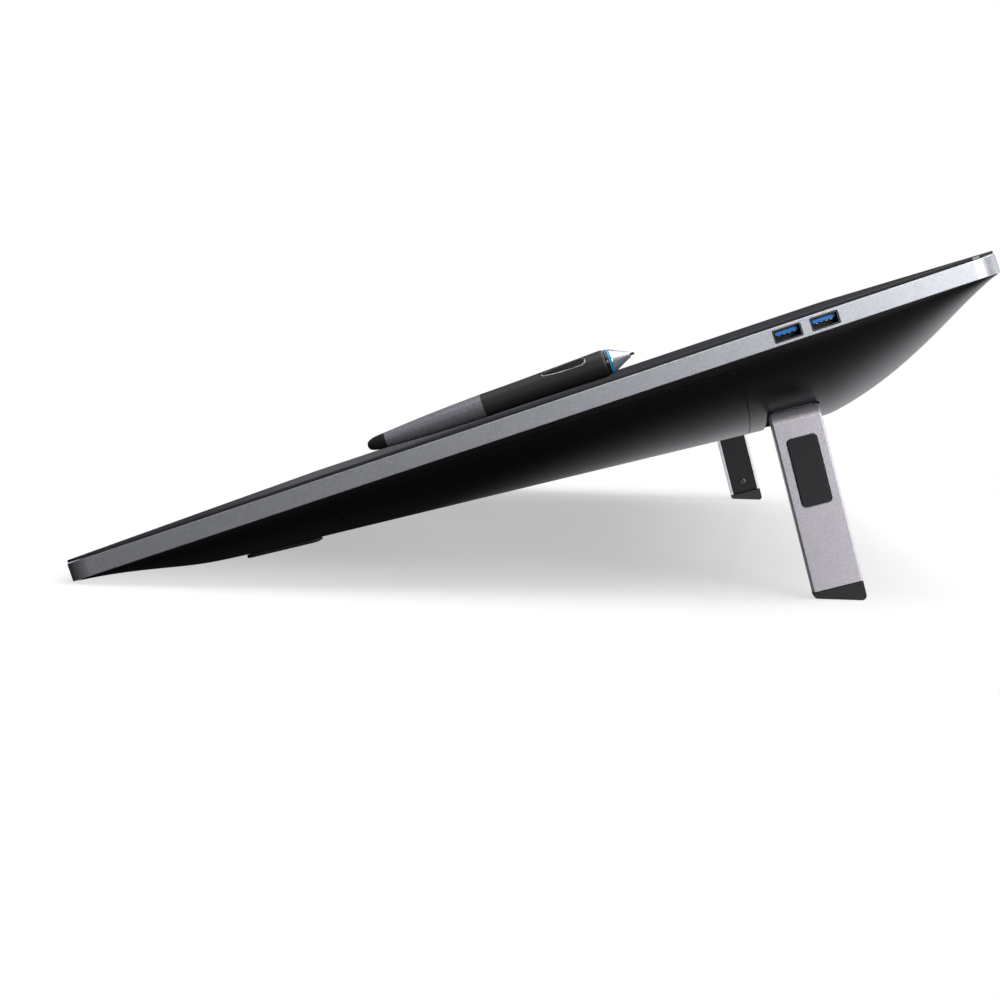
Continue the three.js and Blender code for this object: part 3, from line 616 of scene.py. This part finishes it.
def edge_pad(side, extra):
    """Anti-slip pad under the front edge, level with the desk, in the display's frame."""
    outline = rounded(EDGE_PAD["width"] + 2 * extra, EDGE_PAD["length"] + 2 * extra, 0.6 + extra, 4)
    level = slab(outline, -extra, EDGE_PAD["height"] + extra, 0 if extra else 0.3, rounded_ends=(True, False))
    world = METRES @ shift(side * EDGE_PAD["x"], FRONT_EDGE + EDGE_PAD["y"], 0)
    return level.moved(np.linalg.inv(DISPLAY) @ world)


def front_foot(side):
    """Rubber foot: a rounded block level with the flat of the back, hollowed to sit on it."""
    outline = rounded(FRONT_FOOT["width"], FRONT_FOOT["length"], FRONT_FOOT["corner"], 8)
    foot = slab(outline, -FRONT_FOOT["proud"], 14, 0.5, rounded_ends=(True, False))
    place = shift(side * FRONT_FOOT["x"], FRONT_FOOT["y"] - DEEPEST, 0)
    return foot.moved(FLAT @ place).cut(back_solid(-GAP, -RIM))


# ---------------------------------------------------------------- glass, band and sockets

def band():
    """The side frame: a chamfered section carried round the rounded rectangle of the plan."""
    c, wall = BAND["chamfer"], BAND["wall"]
    section = [(wall, BAND["top"]), (c, BAND["top"]), (0, BAND["top"] - c),
               (0, BAND["bottom"] + c), (c, BAND["bottom"]), (wall, BAND["bottom"])]
    rings = []
    for inset, height in section:
        outline = rounded(WIDTH - 2 * inset, DEPTH - 2 * inset, CORNER - inset, 16)
        rings.append(np.column_stack([outline, np.full(len(outline), height)]))
    body = Solid(rings, wrap=True).moved(shift(0, DEPTH / 2, 0))
    for y in PORTS:
        for side, _ in SIDES:
            outline = rounded(PORT["width"] + 2 * GAP, PORT["height"] + 2 * GAP, 0.8, 4)
            mouth = slab(outline, -wall, wall, axis="X")
            body.cut(mouth.moved(shift(side * (HALF - wall / 2), y, PORT["z"])))
    middle = (BAND["top"] + BAND["bottom"]) / 2
    width, height = BUTTON["width"] + 2 * GAP, BUTTON["height"] + 2 * GAP
    slot = slab(rounded(width, height, height / 2 - 0.01), DEPTH - 2 * wall, DEPTH + wall, axis="Y")
    hole = slab(arc((0, 0), LIGHT["radius"] + GAP, 0, 345, 23), DEPTH - 2 * wall, DEPTH + wall, axis="Y")
    return body.cut(slot.moved(shift(BUTTON["x"], 0, middle)), hole.moved(shift(LIGHT["x"], 0, middle)))


def socket_shell():
    """Folded metal tube with rounded corners, open at its mouth, in the frame of its mouth."""
    outer = slab(rounded(PORT["width"], PORT["height"], PORT["corner"], 5), -PORT["depth"], 0, axis="X")
    inside = rounded(PORT["width"] - 2 * PORT["sheet"], PORT["height"] - 2 * PORT["sheet"], 0.6, 5)
    return outer.cut(slab(inside, 1 - PORT["depth"], 5, axis="X"))


def socket_insulator():
    """Black plastic block that closes the back of a socket."""
    x = 1 + GAP - PORT["depth"]
    wide, high = PORT["width"] / 2 - PORT["sheet"] - 0.1, PORT["height"] / 2 - PORT["sheet"] - 0.1
    middle, tall = (TONGUE["bottom"] + TONGUE["top"]) / 2, (TONGUE["top"] - TONGUE["bottom"]) / 2 + 0.05
    body = block(x, x + 5.5, -wide, wide, -high, high)
    slit = TONGUE["half"] + 0.05
    return body.cut(block(x - 1, x + 8, -slit, slit, middle - tall, middle + tall))


def socket_tongue():
    """Plastic tongue in the upper half of a socket, its front edge rounded."""
    middle, tall = (TONGUE["bottom"] + TONGUE["top"]) / 2, TONGUE["top"] - TONGUE["bottom"]
    tongue = slab(rounded(2 * TONGUE["half"], tall, 0.35, 4), 1 + GAP - PORT["depth"], -TONGUE["set_back"],
                  0.3, axis="X", rounded_ends=(False, True))
    return tongue.moved(shift(0, 0, middle))


def contact_spring(y):
    """One contact: a strip along x under the tongue that bows down towards its front end."""
    t = np.linspace(0, 1, 24)
    x = -TONGUE["set_back"] - 0.4 - CONTACTS["reach"] * (1 - t)
    drop = TONGUE["bottom"] - 0.02 - 0.85 * np.exp(-((t - 0.86) / 0.1) ** 2)
    wide, thick = CONTACTS["width"] / 2, 0.25
    corners = ((-wide, 0), (wide, 0), (wide, -thick), (-wide, -thick))
    return Solid(np.stack([np.stack([x, np.full_like(x, y + a), drop + b], -1) for a, b in corners], 1))


# ---------------------------------------------------------------- legs

def leg_channel():
    """Metal leg: a round-topped block with rounded long edges, hollowed from its inner face."""
    back, half = LEG["thickness"] / 2, LEG["width"] / 2

    def section(inset):
        top = arc((0, 0), back - inset, 0, 180, 24)
        return np.vstack([[(-back + inset, -LEG["end"]), (back - inset, -LEG["end"])], top])

    t = np.linspace(0, math.pi / 2, 6)
    near = list(zip(-half + LEG["edge"] * (1 - np.cos(t)), LEG["edge"] * (1 - np.sin(t))))
    far = [(-y, inset) for y, inset in near][::-1]
    rings = [np.insert(section(inset), 1, y, axis=1) for y, inset in near + far]
    inner = back - LEG["sheet"]
    hollow = np.vstack([[(-back - 2, -LEG["end"] - 2), (inner, -LEG["end"] - 2)],
                        arc((0, 0), inner, 0, 75, 8), [(2.4, 9.0), (-back - 2, 9.0)]])
    rail = half - LEG["rail"]
    pin = slab(arc((0, 0), 1.8, 0, 345, 23), -LEG["width"], LEG["width"], axis="Y")
    outline = rounded(PAD["width"] + 2 * GAP, PAD["length"] + 2 * GAP, PAD["corner"] + GAP)
    recess = slab(outline, back - PAD["recess"], back + 5, axis="X").moved(shift(0, 0, PAD["z"]))
    return Solid(rings).cut(slab(hollow, -rail, rail, axis="Y"), pin, recess)


def leg_inlay():
    """Dark cover of the channel, with two round seats for its magnets."""
    face, half = -LEG["thickness"] / 2 + 1.2, LEG["width"] / 2 - LEG["rail"] - GAP
    low, high = -LEG["end"] + 0.5, -13
    outline = rounded(2 * half, high - low, 0.5, 4)
    inlay = slab(outline, face, face + 2.8, 0.3, axis="X", rounded_ends=(True, False))
    inlay.moved(shift(0, 0, (low + high) / 2))
    circle = arc((0, 0), MAGNETS["radius"] + GAP, 0, 352.5, 47)
    for z in MAGNETS["places"]:
        seat = slab(circle, face - 1, face + MAGNETS["depth"] + GAP, axis="X")
        inlay.cut(seat.moved(shift(0, 0, z)))
    return inlay


def leg_magnet(z):
    """Round magnet with a rounded rim and a small dimple, set in the dark cover."""
    face, r = -LEG["thickness"] / 2 + 1.2, MAGNETS["radius"]
    low, high = face + MAGNETS["proud"], face + MAGNETS["depth"]
    outline = [(0, low + 0.25), (0.7, low + 0.25), (0.95, low), (r - 0.3, low), (r - 0.09, low + 0.09),
               (r, low + 0.3), (r, high), (0, high)]
    return lathe(outline, 48).moved(turn("Z", -90)).moved(shift(0, 0, z))


def leg_pad():
    """Rubber pad let into the outer face of the leg."""
    inner = LEG["thickness"] / 2 - PAD["recess"] + GAP
    outline = rounded(PAD["width"], PAD["length"], PAD["corner"])
    pad = slab(outline, inner, inner + PAD["thickness"], 0.4, axis="X", rounded_ends=(False, True))
    return pad.moved(shift(0, 0, PAD["z"]))


def leg_foot():
    """Rubber wedge: a four-sided outline with rounded lower corners, its sole level on the desk."""
    slope = math.radians(TILT - LEG["rake"])
    axle = (DISPLAY @ np.array([LEG["x"], LEG["y"], LEG["z"], 1]))[2] * 1000
    sole = lambda y: -(axle + y * math.sin(slope)) / math.cos(slope)
    half, top = LEG["width"] / 2, -LEG["end"] - GAP
    corners = [(-half, sole(-half)), (half, sole(half)), (half, top), (-half, top)]
    outline = rounded_polygon(corners, (1.6, 2.2, 0, 0))
    back = LEG["thickness"] / 2
    return slab(outline, -back, back, 0.7, axis="X")


# ---------------------------------------------------------------- pen

PEN_BORE = 3.0
GRIP = [(7.2, 16.2), (7.55, 17.6), (PEN["flare_radius"], PEN["flare"]), (7.4, 30), (6.95, 55), (6.66, 75),
        (PEN["waist_radius"], PEN["waist"])]


def hollow(profile, bore=PEN_BORE):
    """A turned wall: an outer profile closed by the pen's bore, or by the sleeve under a ring."""
    first, last = profile[0], profile[-1]
    return np.vstack([profile, [(bore, last[1])], [(bore, first[1])]])


def switch_outline(extra):
    """The side switch from above: round at its front, drawn to a blunt point at its rear."""
    half = SWITCH["width"] / 2 + extra
    start, end = SWITCH["from"] - extra, SWITCH["to"] + extra
    front = arc((0, start + half), half, 180, 360, 16)
    t = np.linspace(0, 1, 13)[1:, None]
    side = (1 - t) ** 2 * np.array([half, start + half]) + 2 * t * (1 - t) * np.array([half, end - 7]) \
        + t ** 2 * np.array([0.7, end])
    return np.vstack([front, side, side[::-1] * (-1, 1)])


def grip_skin(extra):
    """A solid of revolution that stands a little outside the grip, to shape what is let into it."""
    profile = smooth_profile(GRIP, 6)
    profile = profile + np.array([extra, 0])
    return lathe(np.vstack([[(0, profile[0][1])], profile, [(0, profile[-1][1])]]), 96)


def pen_pieces():
    """Name, solid, frame, slot, body and nodes of each piece of the pen."""
    sides = 96
    nib = [(0, 0), (0.3, 0.02), (0.55, 0.18), (0.72, 0.5), (0.75, 0.9), (0.75, 9.4), (0, 9.4)]
    cone = [(1.35, 2.4), (1.5, 2.5), (3.4, 6.6), (6.3, 12.3), (6.72, 13.0), (6.72, 13.1), (PEN_BORE, 13.1),
            (PEN_BORE, 10), (1.05, 5), (1.05, 2.5)]
    ring = [(6.85, 13.4), (6.93, 13.5), (7.0, 14.4), (6.92, 14.5)]
    collar = [(7.0, 14.8), (7.08, 14.9), (7.2, 15.8), (7.12, 15.9)]
    sleeve, waist = 6.4, PEN["waist"]
    barrel = smooth_profile([(6.5, waist + GAP), (6.62, waist + GAP + 0.15), (6.3, 102), (5.6, 122),
                             (4.35, 144.4), (4.2, 144.7)], 6)
    end = smooth_profile([(4.1, 145.4), (4.2, 145.6), (4.1, 149), (3.6, 153), (2.4, 156), (1.0, 156.9)], 6)
    end = np.vstack([[(0, 145.0), (3.5, 145.0), (3.5, 145.4)], end, [(0, PEN["length"])]])
    skin = np.vstack([[(sleeve, 13.15), (sleeve, GRIP[0][1])], smooth_profile(GRIP, 6),
                      [(sleeve - 0.3, waist), (sleeve - 0.3, waist + GAP - 0.04)]])
    on_sleeve = lambda profile: lathe(hollow(profile, sleeve + 0.04), sides)
    grip = lathe(hollow(skin), sides).cut(slab(switch_outline(1), 4.6, 12))
    surround = slab(switch_outline(0.9), 5.3, 9).cut(slab(switch_outline(0.25), 5, 10)).keep(grip_skin(0.12))
    switch = slab(switch_outline(0), 5.4, 9).keep(grip_skin(0.25))
    return (
        ("pen_point", lathe(nib, 32), PEN_FRAME, "pen_gloss", "nib", ["pen_nib"], 0),
        ("pen_nose", lathe(cone, sides), PEN_FRAME, "pen_grey", "pen", ["pen_cone"], 0),
        ("pen_blue_ring", on_sleeve(ring), PEN_FRAME, "pen_ring", "pen", ["pen_colour_ring"], 0),
        ("pen_dark_ring", on_sleeve(collar), PEN_FRAME, "pen_gloss", "pen", ["pen_collar_ring"], 0),
        ("pen_soft_grip", grip, GRIP_FRAME, "pen_rubber", "pen", ["pen_grip"], 0),
        ("pen_switch_surround", surround, GRIP_FRAME, "pen_chrome", "pen", ["pen_switch_bezel"], 0),
        ("pen_rocker", switch, GRIP_FRAME, "pen_gloss", "switch", ["pen_side_switch"], 0.2),
        ("pen_tube", lathe(hollow(barrel), sides), PEN_FRAME, "pen_grey", "pen", ["pen_barrel"], 0),
        ("pen_end", lathe(end, sides), PEN_FRAME, "pen_gloss", "eraser", ["pen_eraser"], 0),
    )


# ---------------------------------------------------------------- user's values

def colour_value(name, description, default):
    """A colour that a user would change."""
    return bpy.props.FloatVectorProperty(
        name=name, description=description, subtype="COLOR", size=3, min=0, max=1, default=default)


class PenDisplayLooks(bpy.types.PropertyGroup):
    """Sizes, colours and lights that a user would change."""

    frame_colour: colour_value("Frame", "Colour of the coat on the side frame", (0.5, 0.51, 0.55))
    leg_colour: colour_value("Legs", "Colour of the coat on the legs", (0.56, 0.53, 0.58))
    back_colour: colour_value("Back", "Colour of the back and the cable cover", (0.006, 0.006, 0.0066))
    rubber_colour: colour_value("Rubber", "Colour of feet and pads", (0.016, 0.016, 0.0185))
    ring_colour: colour_value("Pen ring", "Colour of the ring behind the pen's nose", (0.02, 0.42, 0.78))
    pen_colour: colour_value("Pen", "Colour of the pen's nose and tube", (0.42, 0.42, 0.47))
    inlay_colour: colour_value(
        "Leg covers", "Colour of the covers on the inside of the legs", (0.008, 0.008, 0.009))
    tongue_colour: colour_value(
        "Socket tongues", "Colour of the tongues in the side sockets", (0.03, 0.25, 0.75))
    steel_colour: colour_value(
        "Steel", "Colour of socket shells, magnets, pins and plates", (0.11, 0.11, 0.12))
    edge_softness: bpy.props.FloatProperty(
        name="Edge softness", description="Rounding of cut edges, in metres", unit="LENGTH", min=0, max=0.001,
        default=0.0002)
    side_light: bpy.props.FloatProperty(
        name="Side light", description="Power of the tall light behind and to the right of the camera",
        unit="POWER", min=0, default=34)
    top_light: bpy.props.FloatProperty(
        name="Top light", description="Power of the wide light overhead", unit="POWER", min=0, default=95)
    low_light: bpy.props.FloatProperty(
        name="Low light", description="Power of the light low behind the display",
        unit="POWER", min=0, default=5)
    ambient: bpy.props.FloatProperty(
        name="Ambient", description="Strength of the light from all round", min=0, default=0.16)


# ---------------------------------------------------------------- operators

class PENDISPLAY_OT_stage(bpy.types.Operator):
    """Camera, plain pale floor and soft studio lights"""
    bl_idname = "pen_display.stage"
    bl_label = "Stage"

    def execute(self, context):
        self.camera(context)
        self.floor()
        self.lights(context.scene.pen_display)
        self.world(context)
        context.scene.view_settings.view_transform = "Standard"
        return {"FINISHED"}

    def camera(self, context):
        """Looks along -X, turned by yaw and pitch and then rolled about its own line of sight."""
        yaw, pitch, roll = CAMERA["yaw"], CAMERA["pitch"], CAMERA["roll"]
        flat = math.cos(pitch)
        ahead = np.array([-math.cos(yaw) * flat, -math.sin(yaw) * flat, -math.sin(pitch)])
        level = np.cross(ahead, (0, 0, 1))
        level /= np.linalg.norm(level)
        upright = np.cross(level, ahead)
        right = math.cos(roll) * level + math.sin(roll) * upright
        up = math.cos(roll) * upright - math.sin(roll) * level
        data = bpy.data.cameras.new("camera")
        data.lens = CAMERA["lens"]
        data.sensor_width = 36
        data.clip_start, data.clip_end = 0.01, 200
        camera = bpy.data.objects.new("camera", data)
        matrix = np.eye(4)
        matrix[:3, 0], matrix[:3, 1], matrix[:3, 2], matrix[:3, 3] = right, up, -ahead, CAMERA["place"]
        camera.matrix_world = Matrix(matrix.tolist())
        context.scene.collection.objects.link(camera)
        context.scene.camera = camera

    def floor(self):
        """Pale floor, polished near the object and plain white further off. What it throws on the
        object is a soft glow that grows along one direction."""
        size = 60.0
        corners = np.array([(-size, -size, 0), (size, -size, 0), (size, size, 0), (-size, size, 0)])
        mesh = bpy.data.meshes.new("floor")
        mesh.from_pydata(corners.tolist(), [], [(0, 1, 2, 3)])
        floor = bpy.data.objects.new("floor", mesh)
        floor.location.z = -0.0002
        bpy.context.scene.collection.objects.link(floor)
        material = bpy.data.materials.new("studio_floor")
        shader = Shader(material)
        matt = shader.node("ShaderNodeBsdfDiffuse", {}, {"Color": (0.96, 0.96, 0.965, 1)})
        sheen = shader.node("ShaderNodeBsdfGlossy", {}, {"Color": (1, 1, 1, 1), "Roughness": 0.06})
        polished = shader.node("ShaderNodeMixShader", {}, {0: 0.14, 1: matt, 2: sheen})
        white = shader.node("ShaderNodeEmission", {}, {"Color": (1, 1, 1, 1), "Strength": 1.0})
        spread = shader.node("ShaderNodeVectorMath", {"operation": "LENGTH"}, {0: shader.place()}, 1)
        far = shader.node("ShaderNodeMapRange", {"interpolation_type": "SMOOTHSTEP"},
                          {"Value": spread, "From Min": 0.2, "From Max": 0.65, "To Min": 0.45, "To Max": 1.0})
        seen = shader.node("ShaderNodeMixShader", {}, {0: far, 1: polished, 2: white})
        along = shader.node("ShaderNodeVectorMath", {"operation": "DOT_PRODUCT"},
                            {0: shader.place(), 1: (-1.0, 1.4, 0.0)}, 1)
        glow = shader.node("ShaderNodeMapRange", {"interpolation_type": "SMOOTHSTEP"},
                           {"Value": along, "From Min": -0.3, "From Max": 0.3,
                            "To Min": 0.015, "To Max": 1.0})
        dull = shader.node("ShaderNodeEmission", {}, {"Color": (0.95, 0.97, 1, 1), "Strength": glow})
        direct = shader.node("ShaderNodeLightPath", out="Is Camera Ray")
        shader.show(shader.node("ShaderNodeMixShader", {}, {0: direct, 1: dull, 2: seen}))
        mesh.materials.append(material)

    def light(self, name, place, towards, size, power):
        """One soft rectangular light, unseen by the camera."""
        data = bpy.data.lights.new(name, "AREA")
        data.shape = "RECTANGLE"
        data.size, data.size_y = size
        data.energy = power
        light = bpy.data.objects.new(name, data)
        bpy.context.scene.collection.objects.link(light)
        direction = Vector(place) - Vector(towards)
        light.rotation_euler = direction.to_track_quat("Z", "Y").to_euler()
        light.location = place
        light.visible_camera = False

    def lights(self, looks):
        self.light("side_light", (2.2, 1.15, 0.55), (0.38, 0.2, 0.1), (1.1, 1.3), looks.side_light)
        self.light("top_light", (0.15, 0.75, 2.1), (0, 0.1, 0), (3.2, 3.0), looks.top_light)
        self.light("low_light", (-0.3, 1.5, 0.3), (-0.1, 0.1, 0.0), (1.2, 0.4), looks.low_light)

    def world(self, context):
        """White behind the object, and an even, dim room for its light."""
        world = bpy.data.worlds.new("studio")
        context.scene.world = world
        world.use_nodes = True
        nodes, links = world.node_tree.nodes, world.node_tree.links
        nodes.clear()
        output, mix = nodes.new("ShaderNodeOutputWorld"), nodes.new("ShaderNodeMixShader")
        path = nodes.new("ShaderNodeLightPath")
        white, room = nodes.new("ShaderNodeBackground"), nodes.new("ShaderNodeBackground")
        white.inputs["Color"].default_value = (1, 1, 1, 1)
        room.inputs["Color"].default_value = (0.93, 0.95, 1.0, 1)
        room.inputs["Strength"].default_value = context.scene.pen_display.ambient
        links.new(path.outputs["Is Camera Ray"], mix.inputs[0])
        links.new(room.outputs[0], mix.inputs[1])
        links.new(white.outputs[0], mix.inputs[2])
        links.new(mix.outputs[0], output.inputs["Surface"])


class PENDISPLAY_OT_finishes(bpy.types.Operator):
    """Gives every CAD node the finish of its slot"""
    bl_idname = "pen_display.finishes"
    bl_label = "Finishes"

    def execute(self, context):
        for entry in frame["record"]["subparts"]:
            node = frame["nodes"][entry["node"]]
            node.data.materials.clear()
            node.data.materials.append(finish(entry["material_slot"]))
        return {"FINISHED"}


class PENDISPLAY_OT_glass(bpy.types.Operator):
    """Front glass with a fine rounded rim"""
    bl_idname = "pen_display.glass"
    bl_label = "Front glass"

    def execute(self, context):
        inset = GLASS["inset"]
        outline = rounded(WIDTH - 2 * inset, DEPTH - 2 * inset, CORNER - inset, 16)
        glass = slab(outline, -GLASS["thickness"], 0, 0.3, rounded_ends=(False, True))
        piece("screen_cover_glass", glass.moved(shift(0, DEPTH / 2, 0)), DISPLAY, "screen_glass", "display",
              ["front_glass"])
        return {"FINISHED"}


class PENDISPLAY_OT_band(bpy.types.Operator):
    """Metal band round the display, with its button and light on the rear edge"""
    bl_idname = "pen_display.band"
    bl_label = "Side band"

    def execute(self, context):
        soft = context.scene.pen_display.edge_softness * 1000
        piece("metal_band", band(), DISPLAY, "frame_metal", "display", ["side_frame"], soften=soft)
        middle = (BAND["top"] + BAND["bottom"]) / 2
        outline = rounded(BUTTON["width"], BUTTON["height"], BUTTON["height"] / 2 - 0.01)
        button = slab(outline, DEPTH - 6, DEPTH - 0.1, 0.35, axis="Y", rounded_ends=(False, True))
        piece("power_key", button.moved(shift(BUTTON["x"], 0, middle)), DISPLAY, "button_black", "button",
              ["power_button"])
        r, end = LIGHT["radius"], DEPTH - 0.2
        dome = [(0, DEPTH - 6), (r, DEPTH - 6), (r, end - 0.4), (r * 0.9, end - 0.15), (r * 0.6, end - 0.03),
                (0, end)]
        lens = lathe(dome, 32).moved(shift(LIGHT["x"], 0, middle))
        piece("status_lens", lens, DISPLAY, "light_pipe", "display", ["status_light"])
        return {"FINISHED"}


class PENDISPLAY_OT_sockets(bpy.types.Operator):
    """Side sockets: folded shells, blue tongues and sprung contacts"""
    bl_idname = "pen_display.sockets"
    bl_label = "Side sockets"

    def execute(self, context):
        for side, label in SIDES:
            for number, y in enumerate(PORTS, 1):
                outwards = turn("Z", 0 if side > 0 else 180)
                mouth = DISPLAY @ shift(side * (HALF - 2 * GAP), y, PORT["z"]) @ outwards
                place = f"{label}_{number}"
                piece(f"socket_shell_{place}", socket_shell(), mouth, "plain_steel", "display",
                      [f"usb_socket_{place}"])
                piece(f"socket_tongue_{place}", socket_tongue(), mouth, "tongue_blue", "display",
                      [f"usb_tongue_{place}"])
                piece(f"socket_insulator_{place}", socket_insulator(), mouth, "button_black", "display")
                first, *others = [contact_spring(across) for across in CONTACTS["places"]]
                piece(f"socket_contacts_{place}", first.join(*others), mouth, "pen_chrome", "display")
        return {"FINISHED"}


class PENDISPLAY_OT_back(bpy.types.Operator):
    """Rear housing, cable cover and the rubber feet under the display"""
    bl_idname = "pen_display.back"
    bl_label = "Back"

    def execute(self, context):
        soft = context.scene.pen_display.edge_softness * 1000
        piece("back_housing", rear_housing(), DISPLAY, "back_shell", "display", ["rear_housing"])
        piece("back_cover", cable_cover(), DISPLAY, "back_shell", "cover", ["cable_cover"], soften=2 * soft)
        for side, label in SIDES:
            piece(f"under_foot_{label}", front_foot(side), DISPLAY, "dark_rubber", "display",
                  [f"front_foot_{label}"])
            piece(f"edge_grip_{label}", edge_pad(side, 0), DISPLAY, "dark_rubber", "display",
                  [f"front_edge_pad_{label}"])
        return {"FINISHED"}


class PENDISPLAY_OT_legs(bpy.types.Operator):
    """The two folding legs with their pads, covers, magnets and feet"""
    bl_idname = "pen_display.legs"
    bl_label = "Legs"

    def execute(self, context):
        soft = context.scene.pen_display.edge_softness * 1000
        for side, label in SIDES:
            body, outwards = f"leg_{label}", DISPLAY @ facing(side)
            piece(f"leg_metal_{label}", leg_channel(), outwards, "leg_metal", body, [f"leg_channel_{label}"],
                  soften=soft)
            piece(f"leg_inlay_{label}", leg_inlay(), outwards, "leg_inlay", body,
                  [f"leg_inner_cover_{label}"])
            piece(f"leg_grip_pad_{label}", leg_pad(), outwards, "dark_rubber", body, [f"leg_pad_{label}"])
            piece(f"leg_sole_{label}", leg_foot(), DISPLAY @ leg_frame(side), "dark_rubber", body,
                  [f"leg_foot_{label}"])
            for z, level in zip(MAGNETS["places"], ("upper", "lower")):
                piece(f"magnet_{level}_{label}", leg_magnet(z), outwards, "button_black", body,
                      [f"leg_magnet_{level}_{label}"])
        return {"FINISHED"}


class PENDISPLAY_OT_pen(bpy.types.Operator):
    """The pen that lies on the glass"""
    bl_idname = "pen_display.pen"
    bl_label = "Pen"

    def execute(self, context):
        for name, solid, matrix, slot, body, nodes, soften in pen_pieces():
            piece(name, solid, matrix, slot, body, nodes, soften=soften)
        return {"FINISHED"}


class PENDISPLAY_PT_panel(bpy.types.Panel):
    """Lists the steps that build the display"""
    bl_label = "Pen display"
    bl_idname = "PENDISPLAY_PT_panel"
    bl_space_type = "VIEW_3D"
    bl_region_type = "UI"
    bl_category = "Pen display"

    def draw(self, context):
        looks = context.scene.pen_display
        for name in PenDisplayLooks.__annotations__:
            self.layout.prop(looks, name)
        for step in STEPS:
            self.layout.operator(step.bl_idname)


STEPS = (PENDISPLAY_OT_stage, PENDISPLAY_OT_finishes, PENDISPLAY_OT_glass, PENDISPLAY_OT_band,
         PENDISPLAY_OT_sockets, PENDISPLAY_OT_back, PENDISPLAY_OT_legs, PENDISPLAY_OT_pen)
CLASSES = (PenDisplayLooks, *STEPS, PENDISPLAY_PT_panel)


def register():
    for item in CLASSES:
        bpy.utils.register_class(item)
    bpy.types.Scene.pen_display = bpy.props.PointerProperty(type=PenDisplayLooks)


def unregister():
    del bpy.types.Scene.pen_display
    for item in reversed(CLASSES):
        bpy.utils.unregister_class(item)


def main():
    register()
    for step in STEPS:
        group, name = step.bl_idname.split(".")
        getattr(getattr(bpy.ops, group), name)()


if __name__ == "__main__":
    main()
